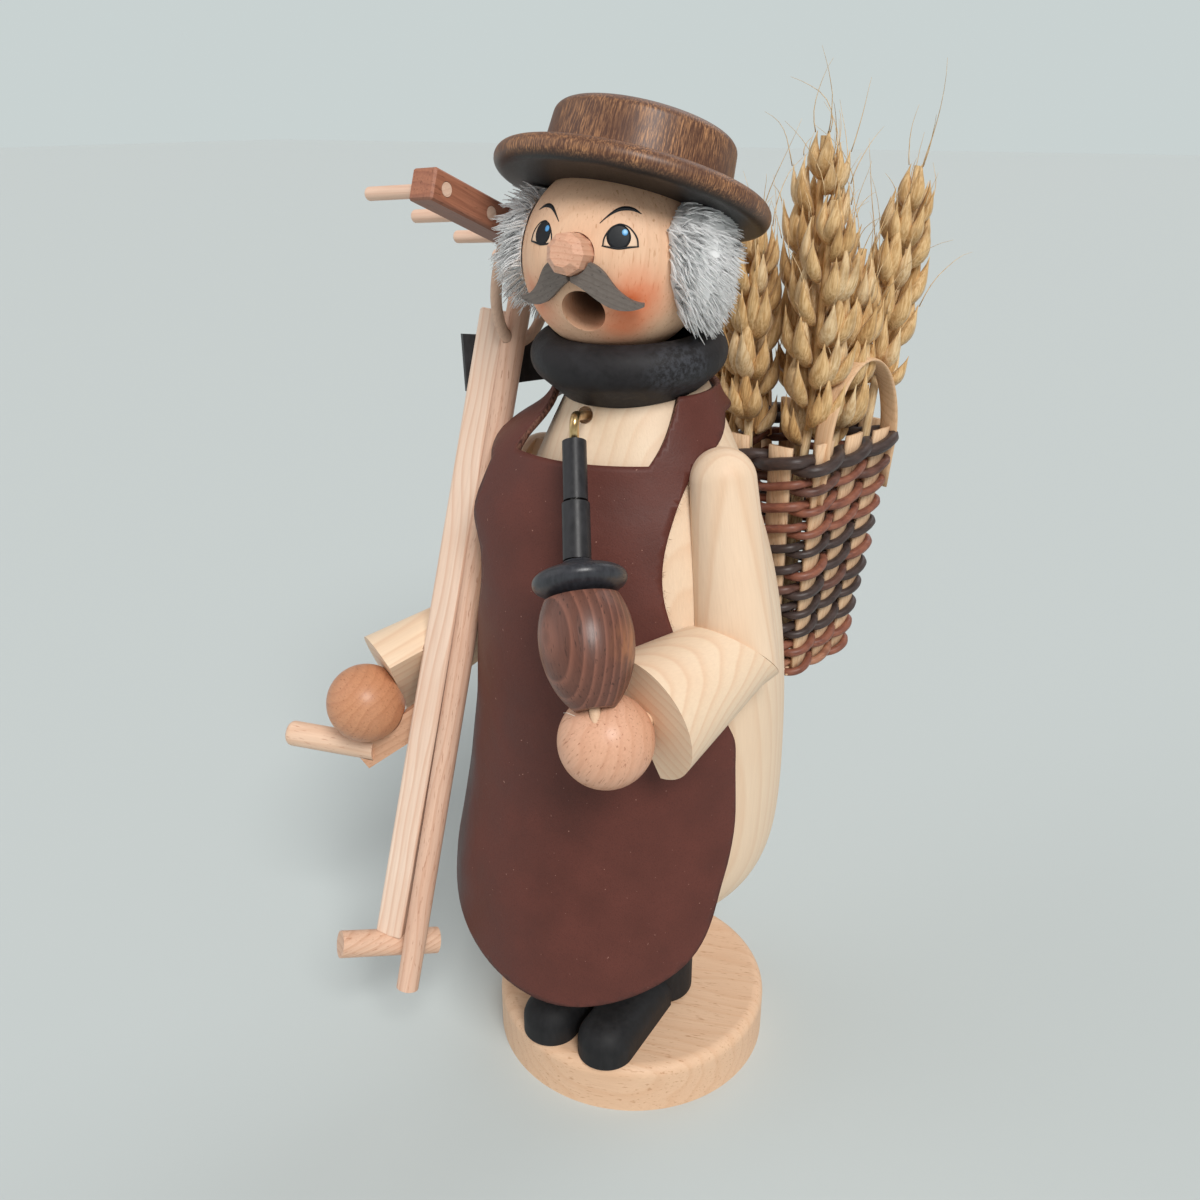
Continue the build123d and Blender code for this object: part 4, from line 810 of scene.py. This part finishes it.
border = [to_flat(*p) for p in ring]
cleaned = [border[0]]
for p in border[1:]:
    if (p - cleaned[-1]).length > 0.25:
        cleaned.append(p)
border = cleaned
GRID_STEP = 1.3
grid = []
xs = [p[0] for p in border]
ys = [p[1] for p in border]
row = 0
y = min(ys)
while y < max(ys):
    x = min(xs) + (row % 2) * GRID_STEP / 2
    while x < max(xs):
        grid.append(Vector((x, y)))
        x += GRID_STEP
    y += GRID_STEP * 0.87
    row += 1


def inside(point):
    hit = False
    for a, b in zip(border, border[1:] + border[:1]):
        if (a[1] > point[1]) != (b[1] > point[1]):
            if point[0] < (b[0] - a[0]) * (point[1] - a[1]) / (b[1] - a[1]) + a[0]:
                hit = not hit
    return hit


border_array = np.array([list(p) for p in border])


def clear_of_border(point):
    return np.min(np.linalg.norm(border_array - np.array(list(point)), axis=1)) > 0.5


grid = [g for g in grid if inside(g) and clear_of_border(g)]
verts = border + grid
edges = [(i, (i + 1) % len(border)) for i in range(len(border))]
flat_points, _, flat_faces, _, _, _ = delaunay_2d_cdt(verts, edges, [], 1, 1e-4)
for f in flat_faces:
    a, b, c = (flat_points[i] for i in f[:3])


def on_apron(p):
    angle, share = math.degrees(p[0] / BELLY), p[1] / BODY_H
    cx, cy, radius = section(share)
    a = math.radians(angle)
    ripple = 0.22 * math.sin(share * 9.0 + a * 2.2) * math.sin(a * 3.1 - share * 5.0)
    droop = 0.25 * math.sin(a * 5.0 + 1.0) * max(0.0, 0.12 - share) / 0.2
    radius = radius + (ripple + droop) * (1.0 if abs(angle) < 85 and share < 0.9 else 0.0)
    return Vector((cx + radius * math.sin(a), cy - radius * math.cos(a), RIM_Z + share * BODY_H))


leather = Look("apron_leather", 0.52)
mottle = leather.grain(0.12, 4.0)
pore = leather.grain(3.2, 3.0, 0.6)
hide = leather.mix(leather.rise(mottle, 0.3, 0.7), (0.098, 0.028, 0.020), (0.126, 0.036, 0.026))
hide = leather.mix(leather.ramp(pore, (0.35, 0.35), (0.5, 0.0)), hide, (0.07, 0.018, 0.014))
dust = leather.grain(1.7, 1.0, move=(3, 8, 1))
hide = leather.mix(leather.ramp(dust, (0.775, 0.0), (0.80, 0.75)), hide, (0.42, 0.22, 0.17))
leather.colour(hide)
leather.rough_between(mottle, 0.3, 0.7, 0.46, 0.58)
leather.bump(pore, 0.035)
leather.bump(mottle, 0.25)
raw_edge = Look("apron_raw_edge", 0.85)
frayed = raw_edge.grain(2.5, 3.0, stretch=0.5)
fray_tone = raw_edge.rise(frayed, 0.35, 0.65)
raw_edge.colour(raw_edge.mix(fray_tone, (0.045, 0.016, 0.012), (0.22, 0.10, 0.07)))
raw_edge.bump(frayed, 0.12)

apron = Mesh()
apron.add([on_apron(p) for p in flat_points], [tuple(f) for f in flat_faces])
apron = apron.make("leather_apron", leather, raw_edge)
facing = apron.data.polygons[len(apron.data.polygons) // 2]
centre_out = Vector((facing.center.x, facing.center.y, 0))
if facing.normal.dot(centre_out) < 0:
    apron.data.flip_normals()
thick = apron.modifiers.new("thickness", "SOLIDIFY")
thick.thickness = LEATHER * MM
thick.offset = -1.0
thick.use_even_offset = False
thick.material_offset_rim = 1
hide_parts("apron")
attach(apron, "torso")

# Light fibres that stand out of the raw armhole edge
fibres = Mesh()
EDGE_FIBRES = 46
raw_line = edge_angles(LEFT_EDGE, 60)
for _ in range(EDGE_FIBRES):
    angle, share = raw_line[int(rng.integers(10, 235))]
    start = on_apron(to_flat(angle, share)) + Vector((0, 0.3, 0))
    way = Vector((rng.normal() * 0.5 + 0.5, rng.normal() * 0.4, rng.normal() * 0.7)).normalized()
    bend = Vector(rng.normal(size=3) * 0.25)
    size = rng.uniform(0.4, 1.1)
    path = [start, start + way * size * 0.5 + bend * 0.2, start + (way + bend) * size]
    fibres.tube(path, [0.035, 0.03, 0.012], 3)
fibre_look = two_tone("leather_fibre", 0.8, (0.60, 0.42, 0.30), (0.42, 0.22, 0.14))
fibres = fibres.make("edge_fibres", fibre_look)
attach(fibres, "torso")

# Basket: twined reed round flat stakes
STAKES_PER_SIDE = 3
REED = 1.02
STAKE_WIDTH, STAKE_THICK = 5.7, 0.9
STAKE_SLOT = 4
WEAVE_ROWS, WEAVE_SAMPLES = 11, 200
CORNER, WALL_INSET = 5.0, 0.8
ROW_PITCH = (BASKET_HIGH - BASKET_LOW - 3.4) / (WEAVE_ROWS - 1)
turn_matrix = Matrix.Rotation(BASKET_TURN, 3, "Z")


def basket_side(z):
    return lerp(BASKET_BOTTOM, BASKET_TOP, (z - BASKET_LOW) / (BASKET_HIGH - BASKET_LOW))


def basket_wall(u, z, out=0.0):
    """Point on the basket's wall: u runs 0 to 4 round its sides, out is measured outward."""
    straight = basket_side(z) / 2 - WALL_INSET - CORNER
    side, t = int(u) % 4, u - int(u)
    lengths = (2 * straight, CORNER * math.pi / 2)
    total = lengths[0] + lengths[1]
    s = t * total - lengths[1] / 2
    centre, a = Vector((-straight + s, -straight)), 0.0
    if s < 0:
        centre, a = Vector((-straight, -straight)), (s + lengths[1] / 2) / CORNER - math.pi / 4
    elif s > lengths[0]:
        centre, a = Vector((straight, -straight)), (s - lengths[0]) / CORNER
    way = Vector((math.sin(a), -math.cos(a)))
    p = centre + way * (CORNER + out)
    spin = Matrix.Rotation(side * math.pi / 2, 2)
    p, way = spin @ p, spin @ way
    flat = turn_matrix @ Vector((p[0], p[1], 0))
    normal = turn_matrix @ Vector((way[0], way[1], 0))
    return Vector((BASKET.x + flat.x, BASKET.y + flat.y, z)), normal


reed_looks = []
for index, (early, late) in enumerate((
    ((0.30, 0.115, 0.07), (0.17, 0.06, 0.04)),
    ((0.16, 0.075, 0.055), (0.09, 0.04, 0.03)),
    ((0.075, 0.05, 0.045), (0.04, 0.027, 0.024)),
    ((0.42, 0.20, 0.12), (0.24, 0.10, 0.06)),
)):
    look = Look("reed_" + str(index), 0.42, Coat_Weight=0.12, Coat_Roughness=0.4)
    skin = look.grain(0.55, 4.0, axis=(0.3, 0.2, 0.1), stretch=0.6, move=(index * 9, 0, 0))
    split = look.grain(0.5, 3.0, stretch=6.0)
    tone = look.mix(look.rise(skin, 0.3, 0.7), late, early)
    tone = look.mix(look.ramp(split, (0.55, 0.0), (0.75, 0.5)), tone, [c * 1.5 for c in early])
    look.colour(tone)
    look.bump(split, 0.06)
    reed_looks.append(look)
stake_look = wood(
    "stake_splint", (0.84, 0.60, 0.39), (0.64, 0.37, 0.20), axis=(0, 0, 1), pith=(40, 4), ring=0.9, rings=0.5,
    streak=0.35, rough=0.55, seed=41, fleck=(0.40, 0.2, 0.1),
)

basket = Mesh()
STAKE_LEVELS = 14
STAKE_CUP = 0.35
STAKE_SECTION = ((-1, -1), (-0.4, -1), (0.4, -1), (1, -1), (1, 1), (0.4, 1), (-0.4, 1), (-1, 1))
for stake in range(4 * STAKES_PER_SIDE):
    u = (stake + 0.5) / STAKES_PER_SIDE
    low, high = BASKET_LOW + 1.0, BASKET_HIGH + 2.0 + 1.4 * rng.random()
    rings = []
    for k in range(STAKE_LEVELS + 1):
        centre, normal = basket_wall(u, lerp(low, high, k / STAKE_LEVELS))
        along = Vector((0, 0, 1)).cross(normal)
        width = STAKE_WIDTH * lerp(0.82, 1.0, k / STAKE_LEVELS) / 2
        ring = []
        for across, depth in STAKE_SECTION:
            bow = STAKE_CUP * (1 - across * across)
            stand_off = depth * STAKE_THICK / 2 + bow - STAKE_CUP / 2
            ring.append(centre + along * (across * width) + normal * stand_off)
        rings.append(ring)
    basket.loft(rings, STAKE_SLOT)

for row in range(WEAVE_ROWS):
    z_row = BASKET_LOW + 2.4 + ROW_PITCH * row
    top = row == WEAVE_ROWS - 1
    for strand in (0, 1):
        if row > 6:
            pick = rng.choice([0, 1, 3, 0], p=[0.45, 0.25, 0.1, 0.20])
        elif row > 1:
            pick = rng.choice([1, 2, 0], p=[0.34, 0.54, 0.12])
        else:
            pick = rng.choice([0, 3], p=[0.6, 0.4])
        if top:
            pick = 2
        path = []
        wobble = rng.uniform(0, 6.28, 3)
        reed = REED * (1.35 if top else rng.uniform(0.88, 1.06))
        swing = STAKE_THICK / 2 + reed + 0.12
        for k in range(WEAVE_SAMPLES):
            u = 4.0 * k / WEAVE_SAMPLES
            phase = math.pi * (u * STAKES_PER_SIDE - 0.5) + math.pi * strand
            reach = math.cos(phase)
            reach = math.copysign(abs(reach) ** 0.75, reach)
            z = z_row + 0.95 * math.sin(phase) + 0.25 * math.sin(u * 2.3 + wobble[0])
            centre, normal = basket_wall(u, z)
            path.append(centre + normal * (swing * reach + 0.08 * math.sin(u * 17 + wobble[1])))
        basket.tube(path, reed, 8, int(pick), closed=True)
# Floor: crossed splints
for layer in (0, 1):
    for k in range(4):
        offset = (k - 1.5) * 6.2
        half = BASKET_BOTTOM / 2 - 0.6
        z = BASKET_LOW + 1.0 + layer * 0.9
        ends = [Vector((-half, offset, 0)), Vector((half, offset, 0))]
        if layer:
            ends = [Vector((e.y, e.x, 0)) for e in ends]
        path = []
        for t in np.linspace(0, 1, 5):
            flat = turn_matrix @ (ends[0] * (1 - t) + ends[1] * t)
            path.append((BASKET.x + flat.x, BASKET.y + flat.y, z))
        across = turn_matrix @ Vector((layer, 1 - layer, 0))
        basket.tube(path, 2.9, 8, STAKE_SLOT, flat=0.15, across=across)
basket = basket.make("woven_basket", *reed_looks, stake_look)
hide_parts("basket_shell", "basket_rim")
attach(basket, "torso")

# Handles: one splint bent over each side, its ends pushed down inside the weave
ARCH_MID, ARCH_HALF, ARCH_HIGH = 1.75, 13.35, 19.0
FOOT_DEPTH = 12.0
for name, flip in (("left", 1), ("right", -1)):
    handle = Mesh()
    arch = [(-11.5, -FOOT_DEPTH), (-11.5, -FOOT_DEPTH / 2), (-11.6, 0.0)]
    for a in np.linspace(0.12, math.pi - 0.12, 26):
        arch.append((ARCH_MID - ARCH_HALF * math.cos(a), ARCH_HIGH * math.sin(a)))
    arch += [(15.1, 0.0), (15.0, -FOOT_DEPTH / 2), (15.0, -FOOT_DEPTH)]
    path = []
    for y, z in arch:
        lean = (BASKET_TOP - BASKET_BOTTOM) / 2 / (BASKET_HIGH - BASKET_LOW) * min(0.0, z)
        flat = turn_matrix @ Vector((flip * (BASKET_TOP / 2 - 1.2 + lean), y, 0))
        path.append((BASKET.x + flat.x, BASKET.y + flat.y, BASKET_HIGH + z))
    handle.tube(path, 2.2, 12, 0, flat=0.22, across=turn_matrix @ Vector((1, 0, 0)))
    handle = handle.make("splint_handle_" + name, splint_look)
    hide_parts("basket_handle_" + name)
    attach(handle, "torso")

# Wheat ears, in basket widths: foot x and y, tip x and y, tip above the rim, length
EARS = [
    (0.16, -0.24, 0.34, -0.40, 1.54, 1.50),
    (0.08, 0.02, 0.12, -0.02, 1.85, 1.50),
    (0.28, 0.20, 0.58, 0.30, 1.68, 1.39),
    (-0.16, -0.20, -0.12, -0.34, 1.43, 1.39),
    (-0.26, -0.04, -0.42, -0.16, 1.07, 1.30),
    (-0.06, 0.26, 0.02, 0.34, 1.46, 1.39),
    (0.22, -0.02, 0.40, -0.02, 1.24, 1.26),
]
husk_looks = []
for index, (pale, deep) in enumerate((
    ((0.80, 0.56, 0.29), (0.52, 0.30, 0.11)),
    ((0.70, 0.45, 0.20), (0.40, 0.21, 0.07)),
    ((0.86, 0.65, 0.39), (0.60, 0.38, 0.17)),
)):
    look = Look("husk_" + str(index), 0.5, Sheen_Weight=0.1)
    vein = look.grain(2.6, 3.0, 0.6, axis=(0.1, 0.1, 1), stretch=0.08, move=(index * 4, 0, 0))
    blotch = look.grain(0.3, 3.0)
    tone = look.mix(look.rise(vein, 0.35, 0.62), deep, pale)
    tone = look.mix(look.ramp(blotch, (0.5, 0.0), (0.72, 0.55)), tone, (0.34, 0.20, 0.08))
    look.colour(tone)
    look.bump(vein, 0.10)
    husk_looks.append(look)


HUSK_STATIONS, HUSK_SIDES = 9, 8
HUSK_PITCH, HUSK_LENGTH, HUSK_WIDTH = 4.3, 13.4, 4.3
AWN_CEILING = 216.0


def floret(mesh, base, way, out, length, width, slot):
    """One husk: a keeled, pointed boat along way, its keel facing out."""
    way = way.normalized()
    out = (out - way * out.dot(way)).normalized()
    side = way.cross(out)
    rings = []
    for i in range(HUSK_STATIONS):
        t = i / (HUSK_STATIONS - 1)
        wide = width / 2 * (math.sin(math.pi * (t * 0.90 + 0.06) ** 0.8) ** 0.9) * (1 - t ** 3) + 0.05
        deep = wide * 0.72
        lift = length * 0.10 * math.sin(math.pi * t) - length * 0.04 * t
        ring = []
        for k in range(HUSK_SIDES):
            a = 2 * math.pi * k / HUSK_SIDES
            keel = 1.28 if k == 0 else 1.0
            rise = lift + math.cos(a) * deep * keel
            ring.append(base + way * (t * length) + out * rise + side * (math.sin(a) * wide))
        rings.append(ring)
    mesh.loft(rings, slot)
    return base + way * length


def awn(mesh, start, way, length, slot, rng):
    here, path = start.copy(), [start.copy()]
    steps = 7
    curl = Vector(rng.normal(size=3) * 0.10)
    for _ in range(steps):
        here = here + way * (length / steps)
        way = (way + curl + Vector(rng.normal(size=3) * 0.05)).normalized()
        if here.z > AWN_CEILING:
            break
        path.append(here.copy())
    if len(path) > 2:
        mesh.tube(path, [lerp(0.13, 0.03, i / (len(path) - 1)) for i in range(len(path))], 3, slot)


# Husks at one joint of an ear: fan and tilt in degrees, and share of the length
HUSK_FAN = [(-38, 27, 0.88), (38, 27, 0.88), (0, 33, 0.96), (-14, 13, 1.1), (16, 14, 1.05)]
for number, (foot_x, foot_y, tip_x, tip_y, above, length_share) in enumerate(EARS, 1):
    rng = np.random.default_rng(100 + number)
    foot = BASKET + Vector((foot_x, foot_y, 0)) * BASKET_TOP + Vector((0, 0, BASKET_LOW + 2.6))
    tip = BASKET + Vector((tip_x, tip_y, above)) * BASKET_TOP + Vector((0, 0, BASKET_HIGH))
    way = (tip - foot).normalized()
    ear_length = length_share * BASKET_TOP
    ear_foot = tip - way * ear_length
    mesh = Mesh()
    bow = Vector((rng.normal() * 0.6, rng.normal() * 0.6, 0))
    stem = []
    for k in range(10):
        t = k / 9
        stem.append(lerp(foot, ear_foot + way * 3, t) + bow * math.sin(math.pi * t))
    mesh.tube(stem, 1.0, 7, 2)
    spin = rng.uniform(0, math.pi)
    first = way.orthogonal().normalized()
    second = way.cross(first)
    plane = first * math.cos(spin) + second * math.sin(spin)
    edge = way.cross(plane)
    stations = int((ear_length - 9.0) / HUSK_PITCH)
    mesh.tube([ear_foot + way * (t * ear_length * 0.9) for t in np.linspace(0, 1, 8)], 0.8, 6, 0)
    for k in range(stations):
        side = 1 if k % 2 == 0 else -1
        base = ear_foot + way * (k * HUSK_PITCH) + plane * (side * 0.7)
        share = k / max(1, stations - 1)
        size = math.sin(math.pi * (0.22 + 0.62 * share)) ** 0.5
        for fan, tilt, reach in HUSK_FAN:
            fan_angle = math.radians(fan + rng.normal() * 5)
            tilt_angle = math.radians(tilt + rng.normal() * 4) * (1.0 - 0.35 * share)
            out = (plane * side * math.cos(fan_angle * 1.6) + edge * math.sin(fan_angle * 1.6)).normalized()
            direction = (way * math.cos(tilt_angle) + out * math.sin(tilt_angle)).normalized()
            length = HUSK_LENGTH * size * reach * rng.uniform(0.90, 1.08)
            slot = int(rng.choice([0, 1, 2], p=[0.45, 0.25, 0.30]))
            start = base + out * (0.9 if abs(fan) > 20 else 1.3) + edge * (1.2 * math.sin(fan_angle))
            width = HUSK_WIDTH * size * rng.uniform(0.85, 1.1)
            end = floret(mesh, start, direction, out, length, width, slot)
            if rng.random() < 0.34 + 0.3 * share:
                awn_way = (direction + way * 0.6).normalized()
                awn(mesh, end - direction * 0.3, awn_way, rng.uniform(3, 9) + 16 * rng.random() ** 3, 2, rng)
    top = ear_foot + way * (stations * HUSK_PITCH)
    for k in range(3):
        out = (plane * math.cos(k * 2.1) + edge * math.sin(k * 2.1)).normalized()
        end = floret(mesh, top - way * 1.5, way + out * 0.2, out, 9.5, 3.8, 0)
        awn(mesh, end - way * 0.3, (way + out * 0.25).normalized(), rng.uniform(8, 22), 2, rng)
    ear = mesh.make("wheat_" + str(number), *husk_looks)
    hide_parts("wheat_ear_" + str(number))
    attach(ear, "torso")

# Glue thread between bowl and hand
glue = Mesh()
spot = PIPE_FOOT + Vector((-2.2, -2.6, -0.6))
glue.tube([spot, spot + Vector((-1.2, -0.5, 0.5)), spot + Vector((-2.2, -0.2, 0.1))], [0.06, 0.05, 0.03], 4)
glue_look = two_tone("glue_thread", 0.3, (0.80, 0.76, 0.68), (0.66, 0.60, 0.5))
glue = glue.make("glue_thread", glue_look)
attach(glue, "torso")

# Studio
floor_mesh = bpy.data.meshes.new("floor")
FLOOR_REACH = 6.0
floor_corners = [(x * FLOOR_REACH, y * FLOOR_REACH, 0) for x, y in ((-1, -1), (1, -1), (1, 1), (-1, 1))]
floor_mesh.from_pydata(floor_corners, [], [(0, 1, 2, 3)])
floor = bpy.data.objects.new("floor", floor_mesh)
bpy.context.scene.collection.objects.link(floor)
floor_look = Look("studio_floor", 0.9, Specular_IOR_Level=0.1)
floor_look.colour((0.55, 0.60, 0.60))
floor_mesh.materials.append(floor_look.material)

scene = bpy.context.scene
scene.view_settings.view_transform = "Standard"
world = bpy.data.worlds.new("studio")
scene.world = world
world.use_nodes = True
tree = world.node_tree
background = tree.nodes["Background"]
background.inputs["Color"].default_value = (1.0, 0.985, 0.97, 1)
background.inputs["Strength"].default_value = 0.36
plain = tree.nodes.new("ShaderNodeBackground")
plain.inputs["Color"].default_value = (0.585, 0.645, 0.640, 1)
plain.inputs["Strength"].default_value = 1.0
path_node = tree.nodes.new("ShaderNodeLightPath")
either = tree.nodes.new("ShaderNodeMath")
either.operation = "MAXIMUM"
tree.links.new(path_node.outputs["Is Camera Ray"], either.inputs[0])
tree.links.new(path_node.outputs["Is Transmission Ray"], either.inputs[1])
blend = tree.nodes.new("ShaderNodeMixShader")
tree.links.new(either.outputs[0], blend.inputs[0])
tree.links.new(background.outputs[0], blend.inputs[1])
tree.links.new(plain.outputs[0], blend.inputs[2])
tree.links.new(blend.outputs[0], tree.nodes["World Output"].inputs["Surface"])


def sun(name, place, soft, strength, colour):
    """Sun that shines from a place toward the origin, its soft angle in degrees."""
    lamp = bpy.data.lights.new(name, "SUN")
    lamp.angle = math.radians(soft)
    lamp.energy = strength
    lamp.color = colour
    obj = bpy.data.objects.new(name, lamp)
    obj.rotation_euler = (-Vector(place)).to_track_quat("-Z", "Y").to_euler()
    bpy.context.scene.collection.objects.link(obj)


sun("key", (0.75, -0.70, 1.0), 24.0, 2.35, (1.0, 0.985, 0.96))
sun("fill", (-0.9, -0.6, 0.6), 60.0, 0.55, (0.96, 0.98, 1.0))
sun("back", (0.2, 0.95, 0.9), 40.0, 0.45, (0.97, 0.98, 1.0))

# Camera of the photograph: place in millimetres, turn to its left and pitch down in degrees
CAMERA_PLACE = Vector((102.11, -192.04, 200.9))
CAMERA_TURN, CAMERA_PITCH, LENS = 30.0, 23.2, 34.5
camera = bpy.data.cameras.new("photo_camera")
camera.sensor_fit = "HORIZONTAL"
camera.sensor_width = 36.0
camera.lens = LENS
camera.clip_start = 0.01
camera_object = bpy.data.objects.new("photo_camera", camera)
turn, pitch = math.radians(CAMERA_TURN), math.radians(CAMERA_PITCH)
forward = Vector((-math.sin(turn) * math.cos(pitch), math.cos(turn) * math.cos(pitch), -math.sin(pitch)))
right = forward.cross(Vector((0, 0, 1))).normalized()
up = right.cross(forward)
pose = Matrix((right, up, -forward)).transposed().to_4x4()
pose.translation = CAMERA_PLACE * MM
camera_object.matrix_world = pose
scene.collection.objects.link(camera_object)
scene.camera = camera_object
